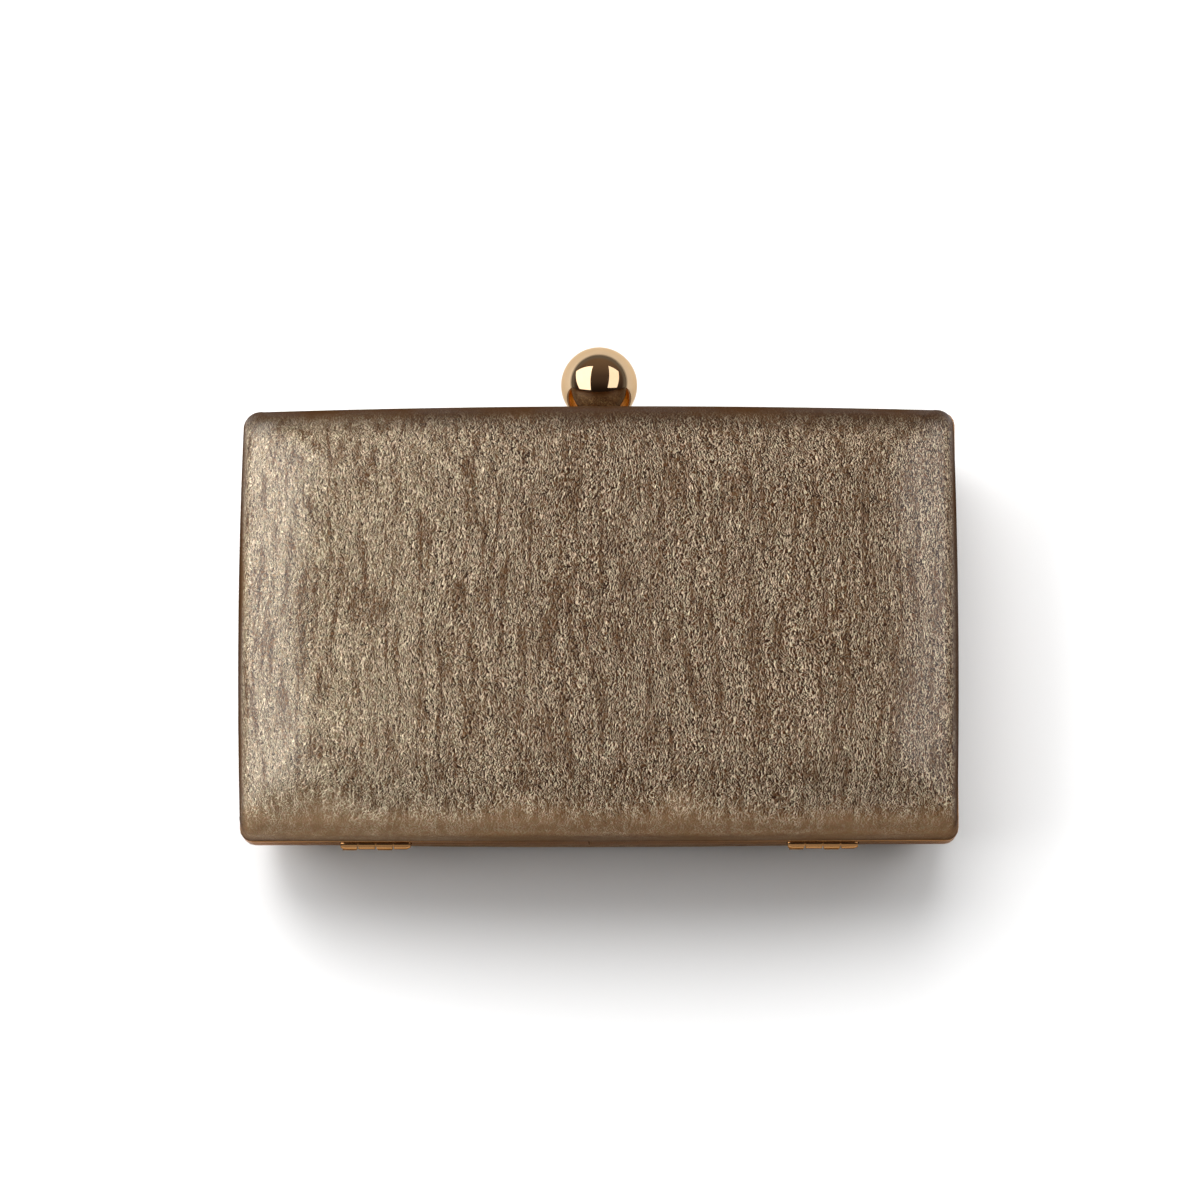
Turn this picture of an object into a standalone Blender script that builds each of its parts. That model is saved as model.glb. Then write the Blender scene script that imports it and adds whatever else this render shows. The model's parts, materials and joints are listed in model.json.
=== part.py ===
"""Hard box clutch: two leather-covered trays in gilt channel frames, two hinges and a ball clasp.

The clutch lies on its back. X runs along its width, +Y points to the clasp, and Z is up, out of
the front face. The origin is the middle of the flat of the back face. Lengths are in metres.
Heights inside a half are counted from the parting plane, where the two frames meet.
"""

import math

import bmesh
import bpy
from mathutils import Matrix, Vector

# Driving sizes of the whole clutch
FRAME_WIDTH = 0.180
FRAME_HEIGHT = 0.109
HALF_DEPTH = 0.025
BALL_DIAMETER = 0.0195

# Clearances
GAP = 0.0003
PIN_GAP = 0.0002
OVERRUN = 0.002
MERGE = 0.000001

# Sheet goods, from the outside in
COVER_THICKNESS = 0.0008
PADDING_THICKNESS = 0.0015
SHELL_THICKNESS = 0.0018
LINING_THICKNESS = 0.0008

# Tray shape: a leaning wall, a rolled edge, and a crown that rises to the flat of the face
WALL_LEAN = 0.0006
EDGE_RADIUS = 0.0065
CROWN_RISE = 0.003
CROWN_RUN = 0.016
CORNER_DROP = 0.004
SIDE_BULGE = 0.0006
WALL_CORNER = 0.0042
FACE_CORNER = 0.012
CORNER_LEAST = 0.001
ROLL_STEPS = 3
CROWN_STEPS = 3
CORNER_STEPS = 4
LONG_SIDE_STEPS = 6
SHORT_SIDE_STEPS = 4

# Gilt channel frame, one on each half
FRAME_METAL = 0.0006
FRAME_BAND = 0.0042
FRAME_LIP = 0.004
FRAME_CORNER = 0.0034
FRAME_EDGE = 0.0002
FRAME_JOINT_GAP = 0.0003
FRAME_JOINT_OFFSET = -0.0025

# Hinges: four knuckles each, rolled from a leaf that is brazed in the frame's channel
HINGE_INSET = 0.0339
KNUCKLES = 4
KNUCKLE_LENGTH = 0.00415
HINGE_METAL = 0.0005
HINGE_SINK = 0.0001
LEAF_TUCK = 0.00005
KNUCKLE_TAPER = 0.001
TAPER_DEPTH = 0.00035
HEEL_REACH = 0.0005
HEEL_THICKNESS = 0.0005
OPEN_DEGREES = 120.0
STOP_MARGIN_DEGREES = 4.0
BARREL_STEPS = 16

# Ball clasp: a ball with a flat seat, on a stem that a lever in the back frame's bracket carries
BALL_SEAT = 0.0076
STEM_RADIUS = 0.00125
STEM_REACH = 0.006
TILT_DEGREES = 6.0
LEVER_WIDTH = 0.006
LEVER_METAL = 0.001
LEVER_HEADROOM = 0.0008
LEVER_TAB = 0.0032
LEVER_FOOT = 0.0016
PIVOT_DROP = 0.0042
PIVOT_RADIUS = 0.00075
HUB_RADIUS = 0.0017
HUB_WIDTH = 0.0022
WEB_HEIGHT = 0.0016
ARM_RISE = 0.0010
ARM_REACH = 0.007
HOOK_DROP = 0.002
CATCH_GAP = 0.0002
CATCH_BAR = 0.001
BALL_STEPS = 32

# Bracket, catch and their rivets
BRACKET_METAL = 0.0006
BRACKET_WIDTH = 0.016
BRACKET_EDGE = 0.002
PLATE_REACH = 0.0026
EAR_RADIUS = 0.0017
RIVET_SPACING = 0.0125
RIVET_RADIUS = 0.0005
RIVET_HEAD_RADIUS = 0.0011
RIVET_HEAD = 0.0004
RIVET_STEPS = 12

# Torsion spring of the clasp
SPRING_WIRE = 0.0004
SPRING_RADIUS = 0.00135
SPRING_PITCH = 0.00085
SPRING_TURNS = 3
CURL_POINTS = 10

# Places and sizes that follow from the ones above
FRONT = 1
BACK = -1
PARTING = GAP / 2
CHANNEL_WIDTH = 2 * FRAME_METAL + 4 * GAP + COVER_THICKNESS + SHELL_THICKNESS + LINING_THICKNESS
LEAF_UNDERSIDE = PARTING + FRAME_METAL + GAP
BARREL_RADIUS = LEAF_UNDERSIDE + HINGE_METAL + LEAF_TUCK
BARREL_BORE = BARREL_RADIUS - HINGE_METAL
NOTCH_HEIGHT = BARREL_RADIUS + GAP
HINGE_LENGTH = KNUCKLES * KNUCKLE_LENGTH + (KNUCKLES - 1) * GAP
HINGE_X = FRAME_WIDTH / 2 - HINGE_INSET
HINGE_Y = -FRAME_HEIGHT / 2 + HINGE_SINK
LIP_Y = FRAME_HEIGHT / 2 - CHANNEL_WIDTH
PLATE_Y = LIP_Y - GAP - BRACKET_METAL
PIVOT_Y = LIP_Y - PIVOT_DROP
PIVOT_HEIGHT = -(LEVER_METAL / 2 + GAP + SPRING_WIRE / 2 + SPRING_RADIUS)
LEVER_TOP = PLATE_Y - LEVER_HEADROOM
ARM_TOP = PIVOT_Y + ARM_RISE
HOOK_TIP = ARM_TOP - LEVER_METAL - HOOK_DROP
BALL_Y = FRAME_HEIGHT / 2 + GAP + BALL_SEAT
STEM_NOTCH = STEM_RADIUS + GAP
STEM_SWING = (FRAME_HEIGHT / 2 - PIVOT_Y) * math.sin(math.radians(TILT_DEGREES))
RIM_HEIGHT = STEM_SWING + STEM_NOTCH

COLOURS = {
    "metallic_leatherette": ((0.27, 0.19, 0.12), 0.42, 0.75),
    "foam": ((0.75, 0.72, 0.66), 0.9, 0.0),
    "moulded_abs": ((0.10, 0.09, 0.08), 0.55, 0.0),
    "suedette_lining": ((0.42, 0.33, 0.25), 0.85, 0.0),
    "gilt_steel": ((0.72, 0.45, 0.20), 0.22, 1.0),
    "gilt_ball": ((0.83, 0.60, 0.38), 0.06, 1.0),
    "spring_steel": ((0.55, 0.54, 0.52), 0.3, 1.0),
}


def material(name):
    """The shared material of that name, made the first time it is asked for."""
    found = bpy.data.materials.get(name)
    if found:
        return found
    colour, roughness, metallic = COLOURS[name]
    made = bpy.data.materials.new(name)
    made.use_nodes = True
    shader = made.node_tree.nodes["Principled BSDF"]
    shader.inputs["Base Color"].default_value = (*colour, 1.0)
    shader.inputs["Roughness"].default_value = roughness
    shader.inputs["Metallic"].default_value = metallic
    made.diffuse_color = (*colour, 1.0)
    return made


def start_scene():
    """Empties the scene and makes the collection that the parts go in."""
    for obj in list(bpy.data.objects):
        bpy.data.objects.remove(obj)
    parts = bpy.data.collections.new("box_clutch")
    bpy.context.scene.collection.children.link(parts)
    return parts


def add_object(name, data):
    """A new object in the clutch's collection."""
    obj = bpy.data.objects.new(name, data)
    bpy.data.collections["box_clutch"].objects.link(obj)
    return obj


def tidy_mesh(mesh):
    """Welds coincident points and turns every face outwards."""
    work = bmesh.new()
    work.from_mesh(mesh)
    bmesh.ops.remove_doubles(work, verts=work.verts, dist=MERGE)
    bmesh.ops.recalc_face_normals(work, faces=work.faces)
    work.to_mesh(mesh)
    work.free()


def carry(name, place, riders):
    """Hangs the pieces of a moving body on an empty that stands on the body's joint."""
    empty = add_object(name, None)
    empty.location = place
    bpy.context.view_layer.update()
    for rider in riders:
        obj = bpy.data.objects[rider]
        obj.parent = empty
        obj.matrix_parent_inverse = empty.matrix_world.inverted()


def bake(obj):
    """Replaces an object by a mesh object of what its modifiers or its curve make."""
    bpy.context.view_layer.update()
    graph = bpy.context.evaluated_depsgraph_get()
    mesh = bpy.data.meshes.new_from_object(obj.evaluated_get(graph))
    tidy_mesh(mesh)
    name = obj.name
    matrix = obj.matrix_world.copy()
    bpy.data.objects.remove(obj)
    made = add_object(name, mesh)
    made.matrix_world = matrix
    return made


def combine(target, other, operation):
    """Joins another solid to the target, or cuts it away, and removes that other solid."""
    boolean = target.modifiers.new(operation.lower(), "BOOLEAN")
    boolean.operation = operation
    boolean.solver = "EXACT"
    boolean.object = other
    target = bake(target)
    bpy.data.objects.remove(other)
    return target


def join(target, *others):
    for other in others:
        target = combine(target, other, "UNION")
    return target


def cut(target, *others):
    for other in others:
        target = combine(target, other, "DIFFERENCE")
    return target


def finish(obj, finish_name, sharp_degrees=35.0):
    """Gives a part its material, and shades its round faces smooth."""
    obj.data.materials.clear()
    obj.data.materials.append(material(finish_name))
    obj.data.shade_smooth()
    obj.data.set_sharp_from_angle(angle=math.radians(sharp_degrees))
    return obj


def half_z(side, height):
    """World height of a place in one half, counted from the parting plane."""
    return HALF_DEPTH + side * height


def box(name, x_range, y_range, height_range, side=FRONT):
    """A block between two places on each axis, with its heights counted from the parting plane."""
    heights = sorted(half_z(side, height) for height in height_range)
    low = Vector((min(x_range), min(y_range), heights[0]))
    high = Vector((max(x_range), max(y_range), heights[1]))
    work = bmesh.new()
    bmesh.ops.create_cube(work, size=1)
    bmesh.ops.scale(work, vec=high - low, verts=work.verts)
    mesh = bpy.data.meshes.new(name)
    work.to_mesh(mesh)
    work.free()
    obj = add_object(name, mesh)
    obj.location = (low + high) / 2
    return obj


def turned(name, profile, centre, axis, steps, closed=False):
    """A turned solid: (along, radius) points spun about an X or Y axis through the centre."""
    mesh = bpy.data.meshes.new(name)
    points = [(radius, 0, along) for along, radius in profile]
    edges = [(i, i + 1) for i in range(len(points) - 1)]
    if closed:
        edges.append((len(points) - 1, 0))
    mesh.from_pydata(points, edges, [])
    obj = add_object(name, mesh)
    obj.location = centre
    if axis == "X":
        obj.rotation_euler = (0, math.radians(90), 0)
    else:
        obj.rotation_euler = (math.radians(-90), 0, 0)
    screw = obj.modifiers.new("spin", "SCREW")
    screw.steps = steps
    screw.render_steps = steps
    screw.use_merge_vertices = True
    screw.merge_threshold = MERGE
    return bake(obj)


def rod(name, centre, axis, radius, start, end, steps):
    """A plain round rod along its axis, from one end to the other."""
    work = bmesh.new()
    bmesh.ops.create_cone(work, cap_ends=True, segments=steps, radius1=radius, radius2=radius,
                          depth=end - start)
    mesh = bpy.data.meshes.new(name)
    work.to_mesh(mesh)
    work.free()
    obj = add_object(name, mesh)
    along = Vector((1, 0, 0)) if axis == "X" else Vector((0, 1, 0))
    obj.location = Vector(centre) + along * (start + end) / 2
    obj.rotation_euler = along.to_track_quat("Z", "Y").to_euler()
    return obj


def rounded_outline(inset, corner, long_steps, short_steps):
    """Points round a rounded rectangle that lies inside the frame's outline, and its half sizes."""
    half_x = FRAME_WIDTH / 2 - inset
    half_y = FRAME_HEIGHT / 2 - inset
    points = []
    for quarter in range(4):
        sign_x = 1 if quarter in (0, 3) else -1
        sign_y = 1 if quarter in (0, 1) else -1
        centre = Vector((sign_x * (half_x - corner), sign_y * (half_y - corner)))
        arc = []
        for step in range(CORNER_STEPS + 1):
            angle = math.radians(90) * (quarter + step / CORNER_STEPS)
            arc.append(centre + corner * Vector((math.cos(angle), math.sin(angle))))
        if points:
            points += between(points[-1], arc[0], side_steps(quarter, long_steps, short_steps))
        points += arc
    points += between(points[-1], points[0], side_steps(0, long_steps, short_steps))
    return points, half_x, half_y


def side_steps(quarter, long_steps, short_steps):
    """How many steps the straight side before this quarter's corner is divided into."""
    return long_steps if quarter in (1, 3) else short_steps


def between(start, end, steps):
    """The points that divide a straight side into equal steps, without its ends."""
    return [start.lerp(end, step / steps) for step in range(1, steps)]


def loft(name, rings, capped):
    """A solid through rings of as many points each, with capped ends or with its ends joined."""
    work = bmesh.new()
    rows = [[work.verts.new(point) for point in ring] for ring in rings]
    pairs = list(zip(rows, rows[1:]))
    if capped:
        work.faces.new(rows[0])
        work.faces.new(rows[-1])
    else:
        pairs.append((rows[-1], rows[0]))
    for pair in pairs:
        inner, outer = sorted(pair, key=lambda row: row[0].co.x)
        for i in range(len(outer)):
            near, far = sorted((i, (i + 1) % len(outer)), key=lambda n: cornered(outer[n].co))
            work.faces.new((outer[far], outer[near], inner[near]))
            work.faces.new((outer[far], inner[near], inner[far]))
    bmesh.ops.recalc_face_normals(work, faces=work.faces)
    mesh = bpy.data.meshes.new(name)
    work.to_mesh(mesh)
    work.free()
    return add_object(name, mesh)


def cornered(point):
    """How near a corner a point is. Sheets split their bent faces alike by it, and so stay apart."""
    return abs(point.x * point.y)


def tray_stations():
    """The tray's outer surface as stations from its rim to the flat of its face.

    Each one has its inset from the frame's outline, its height, its corner radius, the tilt of
    its normal, its share of the corner drop and side bulge, and its share of the padding's depth.
    """
    slope = math.atan(2 * CROWN_RISE / CROWN_RUN)
    roll = math.radians(90) - slope
    rim_inset = FRAME_METAL + GAP
    wall_inset = rim_inset + WALL_LEAN
    wall_height = HALF_DEPTH - CROWN_RISE - EDGE_RADIUS * math.sin(roll)
    roll_inset = wall_inset + EDGE_RADIUS * (1 - math.cos(roll))
    run = roll_inset + CROWN_RUN - wall_inset
    stations = [(rim_inset, RIM_HEIGHT, FRAME_CORNER - rim_inset, 0, 0, 0)]
    for step in range(ROLL_STEPS + 1):
        tilt = roll * step / ROLL_STEPS
        inset = wall_inset + EDGE_RADIUS * (1 - math.cos(tilt))
        height = wall_height + EDGE_RADIUS * math.sin(tilt)
        corner = WALL_CORNER + (FACE_CORNER - WALL_CORNER) * (inset - wall_inset) / run
        stations.append((inset, height, corner, tilt, 1, 1))
    for step in range(1, CROWN_STEPS + 1):
        left = 1 - step / CROWN_STEPS
        inset = roll_inset + CROWN_RUN * (1 - left)
        height = HALF_DEPTH - CROWN_RISE * left**2
        corner = WALL_CORNER + (FACE_CORNER - WALL_CORNER) * (inset - wall_inset) / run
        tilt = math.radians(90) - math.atan(math.tan(slope) * left)
        stations.append((inset, height, corner, tilt, left**2, 1))
    return stations


def tray_ring(station, side, depth, sunk):
    """One ring of a surface that lies at a depth under the tray's outer surface."""
    inset, height, corner, tilt, share, sink = station
    inset = inset + depth * math.cos(tilt)
    corner = max(corner - depth * math.cos(tilt), CORNER_LEAST)
    height = height - depth * math.sin(tilt) - sink * sunk
    outline, half_x, half_y = rounded_outline(inset, corner, LONG_SIDE_STEPS, SHORT_SIDE_STEPS)
    ring = []
    for point in outline:
        across = point.x / half_x
        along = point.y / half_y
        x = point.x + share * SIDE_BULGE * across * (1 - along**2)
        y = point.y + share * SIDE_BULGE * along * (1 - across**2)
        drop = share * CORNER_DROP * across**2 * along**2
        ring.append((x, y, half_z(side, height - drop)))
    return ring


def layer(name, side, first, last, outer, inner, finish_name):
    """A sheet of the tray between two surfaces, each a (depth, sunk) pair, and two stations."""
    stations = tray_stations()
    chosen = stations[first:last + 1]
    rings = [tray_ring(station, side, *outer) for station in reversed(chosen)]
    rings += [tray_ring(station, side, *inner) for station in chosen]
    capped = last == len(stations) - 1
    return finish(loft(name, rings, capped), finish_name)


def build_tray(side, half):
    """The covered, padded and lined tray of one half."""
    face = len(tray_stations()) - 1
    roll_start = 1
    roll_middle = roll_start + ROLL_STEPS - 1
    under_cover = COVER_THICKNESS + GAP
    under_shell = under_cover + SHELL_THICKNESS
    on_lining = under_shell + GAP
    shell_sunk = PADDING_THICKNESS + GAP
    layer(f"{half}_cover", side, 0, face, (0, 0), (COVER_THICKNESS, 0), "metallic_leatherette")
    layer(f"{half}_padding", side, roll_middle, face, (under_cover, 0),
          (under_cover, PADDING_THICKNESS), "foam")
    layer(f"{half}_shell", side, 0, face, (under_cover, shell_sunk), (under_shell, shell_sunk),
          "moulded_abs")
    lining = (on_lining, shell_sunk), (on_lining + LINING_THICKNESS, shell_sunk)
    layer(f"{half}_wall_lining", side, 0, roll_middle - 1, *lining, "suedette_lining")
    layer(f"{half}_floor_lining", side, roll_middle, face, *lining, "suedette_lining")


def frame_ring(side, inset, height):
    """One ring of the frame's channel."""
    corner = max(FRAME_CORNER - inset, CORNER_LEAST)
    outline, _, _ = rounded_outline(inset, corner, 1, 1)
    return [(point.x, point.y, half_z(side, height)) for point in outline]


def build_frame(side, half):
    """A channel bent round the tray's rim, notched for the hinges and the stem, with a butt joint."""
    channel = [
        (FRAME_EDGE, PARTING),
        (0, PARTING + FRAME_EDGE),
        (0, FRAME_BAND - FRAME_EDGE),
        (FRAME_EDGE, FRAME_BAND),
        (FRAME_METAL, FRAME_BAND),
        (FRAME_METAL, PARTING + FRAME_METAL),
        (CHANNEL_WIDTH - FRAME_METAL, PARTING + FRAME_METAL),
        (CHANNEL_WIDTH - FRAME_METAL, FRAME_LIP),
        (CHANNEL_WIDTH, FRAME_LIP),
        (CHANNEL_WIDTH, PARTING),
    ]
    rings = [frame_ring(side, inset, height) for inset, height in channel]
    frame = loft(f"{half}_frame", rings, False)
    bottom = -FRAME_HEIGHT / 2
    top = FRAME_HEIGHT / 2
    notch_depth = HINGE_SINK + NOTCH_HEIGHT
    for centre in (-HINGE_X, HINGE_X):
        reach = HINGE_LENGTH / 2 + GAP
        frame = cut(frame, box("notch", (centre - reach, centre + reach),
                               (bottom - OVERRUN, bottom + notch_depth),
                               (-OVERRUN, NOTCH_HEIGHT), side))
    swing = STEM_SWING if side == BACK else 0
    frame = cut(
        frame,
        box("stem_notch", (-STEM_NOTCH, STEM_NOTCH), (LIP_Y - OVERRUN, top + OVERRUN),
            (-OVERRUN, STEM_NOTCH + swing), side),
        box("butt_joint",
            (FRAME_JOINT_OFFSET - FRAME_JOINT_GAP / 2, FRAME_JOINT_OFFSET + FRAME_JOINT_GAP / 2),
            (bottom - OVERRUN, bottom + CHANNEL_WIDTH + OVERRUN),
            (-OVERRUN, FRAME_BAND + OVERRUN), side),
        *rivet_rods("rivet_hole", side, RIVET_RADIUS + PIN_GAP),
    )
    return finish(frame, "gilt_steel")


def rivet_places():
    return (-RIVET_SPACING / 2, RIVET_SPACING / 2)


def rivet_rods(name, side, radius):
    """Cutters for the rivets that hold the bracket or the catch on the frame's inner lip."""
    reach = BRACKET_METAL + GAP + FRAME_METAL + OVERRUN
    return [rod(name, (x, LIP_Y, half_z(side, rivet_height())), "Y", radius, -reach,
                FRAME_METAL + OVERRUN, RIVET_STEPS) for x in rivet_places()]


def rivet_height():
    """Rivets stand midway up the part of the lip that the bracket covers."""
    return (BRACKET_EDGE + FRAME_LIP) / 2


def build_rivets(side, what):
    """The pair of rivets of the bracket or of the catch, with round heads inside the clutch."""
    head_top = -GAP - BRACKET_METAL - PIN_GAP
    profile = [
        (FRAME_METAL, 0),
        (FRAME_METAL, RIVET_RADIUS),
        (head_top, RIVET_RADIUS),
        (head_top, RIVET_HEAD_RADIUS),
        (head_top - RIVET_HEAD / 2, RIVET_HEAD_RADIUS),
        (head_top - RIVET_HEAD, RIVET_RADIUS),
        (head_top - RIVET_HEAD, 0),
    ]
    for which, x in zip(("left", "right"), rivet_places()):
        centre = (x, LIP_Y, half_z(side, rivet_height()))
        finish(turned(f"{what}_rivet_{which}", profile, centre, "Y", RIVET_STEPS), "gilt_steel")


def knuckle_range(centre, number):
    """Where a knuckle starts and ends on X."""
    start = centre - HINGE_LENGTH / 2 + number * (KNUCKLE_LENGTH + GAP)
    return start, start + KNUCKLE_LENGTH


def barrel(centre, number):
    """One rolled knuckle. The first and the last have a tapered outer end."""
    start, end = (place - centre for place in knuckle_range(centre, number))
    outer = [(end, BARREL_RADIUS), (start, BARREL_RADIUS)]
    if number == 0:
        outer = [outer[0], (start + KNUCKLE_TAPER, BARREL_RADIUS)]
        outer.append((start, BARREL_RADIUS - TAPER_DEPTH))
    if number == KNUCKLES - 1:
        outer = [(end - KNUCKLE_TAPER, BARREL_RADIUS), outer[-1]]
        outer.insert(0, (end, BARREL_RADIUS - TAPER_DEPTH))
    profile = outer + [(start, BARREL_BORE), (end, BARREL_BORE)]
    return turned("barrel", profile, (centre, HINGE_Y, HALF_DEPTH), "X", BARREL_STEPS, True)


def heel(centre, number):
    """The toe under a back knuckle that stops the front half at the end of its swing."""
    start, end = knuckle_range(centre, number)
    reach = BARREL_RADIUS + HEEL_REACH
    root = (BARREL_BORE + BARREL_RADIUS) / 2
    lead = math.degrees(math.asin(HINGE_SINK / reach))
    width = math.degrees(math.asin(HEEL_THICKNESS / 2 / reach))
    angle = math.radians(90 + lead + OPEN_DEGREES + STOP_MARGIN_DEGREES + width)
    block = box("heel", (start + GAP, end - GAP), (root, reach),
                (-HEEL_THICKNESS / 2, HEEL_THICKNESS / 2))
    block.data.transform(Matrix.Translation(block.location - Vector((0, 0, HALF_DEPTH))))
    block.data.transform(Matrix.Rotation(angle, 4, "X"))
    block.location = (0, HINGE_Y, HALF_DEPTH)
    return block


def build_leaf(name, centre, side, numbers):
    """A hinge leaf: its plate lies in the channel, and tongues run from it into the knuckles."""
    plate_start = -FRAME_HEIGHT / 2 + HINGE_SINK + NOTCH_HEIGHT
    heights = (LEAF_UNDERSIDE, LEAF_UNDERSIDE + HINGE_METAL)
    plate_end = -FRAME_HEIGHT / 2 + CHANNEL_WIDTH - FRAME_METAL - GAP
    leaf = box(name, (centre - HINGE_LENGTH / 2, centre + HINGE_LENGTH / 2),
               (plate_start, plate_end), heights, side)
    tongue_start_share = 0.4
    for number in numbers:
        start, end = knuckle_range(centre, number)
        if number == 0:
            start = centre - HINGE_LENGTH / 2 + KNUCKLE_TAPER
        if number == KNUCKLES - 1:
            end = centre + HINGE_LENGTH / 2 - KNUCKLE_TAPER
        tongue = box("tongue", (start + PIN_GAP, end - PIN_GAP),
                     (HINGE_Y + tongue_start_share * BARREL_RADIUS, plate_start + GAP),
                     heights, side)
        leaf = join(leaf, tongue, barrel(centre, number))
        if side == BACK:
            leaf = join(leaf, heel(centre, number))
    return finish(leaf, "gilt_steel")


def build_hinge(which, centre):
    """One hinge of the pair: a leaf on each half and the pin that the knuckles turn on."""
    build_leaf(f"{which}_hinge_back_leaf", centre, BACK, range(0, KNUCKLES, 2))
    build_leaf(f"{which}_hinge_front_leaf", centre, FRONT, range(1, KNUCKLES, 2))
    pin = rod(f"{which}_hinge_pin", (centre, HINGE_Y, HALF_DEPTH), "X", BARREL_BORE - PIN_GAP,
              -HINGE_LENGTH / 2, HINGE_LENGTH / 2, BARREL_STEPS)
    finish(pin, "gilt_steel")


def pivot_rod(name, radius, start, end):
    """A rod on the lever's pivot."""
    return rod(name, (0, PIVOT_Y, half_z(FRONT, PIVOT_HEIGHT)), "X", radius, start, end,
               BARREL_STEPS)


def build_lever():
    """The rocking lever: a plate with a tab under the stem, an arm with a hook, and a hub behind."""
    middle = LEVER_METAL / 2
    tab = LEVER_TAB / 2
    left = -LEVER_WIDTH / 2
    width = (left, -left)
    plate = box("clasp_lever", width, (PIVOT_Y - LEVER_FOOT, LEVER_TOP), (-middle, middle))
    top = box("tab", width, (LEVER_TOP - LEVER_METAL, LEVER_TOP), (-tab, tab))
    arm = box("arm", width, (ARM_TOP - LEVER_METAL, ARM_TOP), (0, ARM_REACH))
    hook = box("hook", width, (HOOK_TIP, ARM_TOP), (ARM_REACH - LEVER_METAL, ARM_REACH))
    hub_left = left + PIN_GAP
    web = box("web", (hub_left + PIN_GAP, hub_left + HUB_WIDTH - PIN_GAP),
              (PIVOT_Y - WEB_HEIGHT / 2, PIVOT_Y + WEB_HEIGHT / 2), (PIVOT_HEIGHT, 0))
    hub = pivot_rod("hub", HUB_RADIUS, hub_left, hub_left + HUB_WIDTH)
    bore = pivot_rod("bore", PIVOT_RADIUS + PIN_GAP, left - OVERRUN, -left + OVERRUN)
    lever = cut(join(plate, top, arm, hook, web, hub), bore)
    return finish(lever, "gilt_steel")


def ear_range():
    """Where the bracket's right ear starts and ends on X. The left one mirrors it."""
    start = LEVER_WIDTH / 2 + 2 * PIN_GAP
    return start, start + BRACKET_METAL


def build_bracket():
    """The bracket on the back frame's lip: a base plate with two ears that carry the pivot."""
    bracket = box("clasp_bracket", (-BRACKET_WIDTH / 2, BRACKET_WIDTH / 2),
                  (PLATE_Y, PLATE_Y + BRACKET_METAL), (BRACKET_EDGE, BRACKET_EDGE + PLATE_REACH),
                  BACK)
    inner, outer = ear_range()
    for sign in (-1, 1):
        ear = box("ear", (sign * inner, sign * outer), (PIVOT_Y, PLATE_Y + BRACKET_METAL / 2),
                  (PIVOT_HEIGHT - EAR_RADIUS, PIVOT_HEIGHT + EAR_RADIUS))
        ends = sorted((sign * inner, sign * outer))
        bracket = join(bracket, join(ear, pivot_rod("ear_end", EAR_RADIUS, *ends)))
    bore = pivot_rod("bore", PIVOT_RADIUS + PIN_GAP, -outer - OVERRUN, outer + OVERRUN)
    bracket = cut(bracket, bore, *rivet_rods("rivet_hole", BACK, RIVET_RADIUS + PIN_GAP))
    finish(bracket, "gilt_steel")
    pin = pivot_rod("clasp_pivot_pin", PIVOT_RADIUS, -outer - GAP, outer + GAP)
    finish(pin, "gilt_steel")


def build_catch():
    """The catch on the front frame's lip: two legs and the bar that the lever's hook goes behind."""
    bar_top = HOOK_TIP - CATCH_GAP
    bar_end = ARM_REACH - LEVER_METAL - 2 * PIN_GAP
    catch = box("catch_plate", (-BRACKET_WIDTH / 2, BRACKET_WIDTH / 2),
                (PLATE_Y, PLATE_Y + BRACKET_METAL), (BRACKET_EDGE, BRACKET_EDGE + PLATE_REACH))
    inner, outer = ear_range()
    for sign in (-1, 1):
        leg = box("leg", (sign * inner, sign * outer),
                  (bar_top - CATCH_BAR, PLATE_Y + BRACKET_METAL / 2),
                  (BRACKET_EDGE + PIN_GAP, bar_end))
        catch = join(catch, leg)
    middle_of_leg = (inner + outer) / 2
    bar = box("bar", (-middle_of_leg, middle_of_leg), (bar_top - CATCH_BAR, bar_top),
              (bar_end - CATCH_BAR, bar_end))
    catch = cut(join(catch, bar), *rivet_rods("rivet_hole", FRONT, RIVET_RADIUS + PIN_GAP))
    return finish(catch, "gilt_steel")


def build_spring():
    """The torsion spring on the pivot: a leg behind the lever, the turns, and a leg to the bracket."""
    turns_end = ear_range()[0] - GAP - SPRING_WIRE / 2
    start_x = turns_end - SPRING_TURNS * SPRING_PITCH - SPRING_PITCH / 2
    middle = half_z(FRONT, PIVOT_HEIGHT)
    points = [Vector((start_x, LEVER_TOP - LEVER_METAL - GAP, middle + SPRING_RADIUS))]
    half_turn = CURL_POINTS // 2
    for step in range(SPRING_TURNS * CURL_POINTS + half_turn + 1):
        turn = step / CURL_POINTS
        angle = -turn * math.radians(360)
        points.append(Vector((
            start_x + turn * SPRING_PITCH,
            PIVOT_Y + SPRING_RADIUS * math.sin(angle),
            middle + SPRING_RADIUS * math.cos(angle),
        )))
    points.append(Vector((points[-1].x, PLATE_Y - GAP, middle - SPRING_RADIUS)))
    curve = bpy.data.curves.new("clasp_spring", "CURVE")
    curve.dimensions = "3D"
    curve.bevel_depth = SPRING_WIRE / 2
    curve.bevel_resolution = 1
    curve.use_fill_caps = True
    spline = curve.splines.new("POLY")
    spline.points.add(len(points) - 1)
    for point, place in zip(spline.points, points):
        point.co = (*place, 1)
    spring = bake(add_object("clasp_spring", curve))
    apart = [(a - b).length for i, a in enumerate(points) for b in points[i + half_turn:]]
    print(f"clasp spring: least gap to itself {(min(apart) - SPRING_WIRE) * 1000:.2f} mm")
    return finish(spring, "spring_steel", 60.0)


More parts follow.
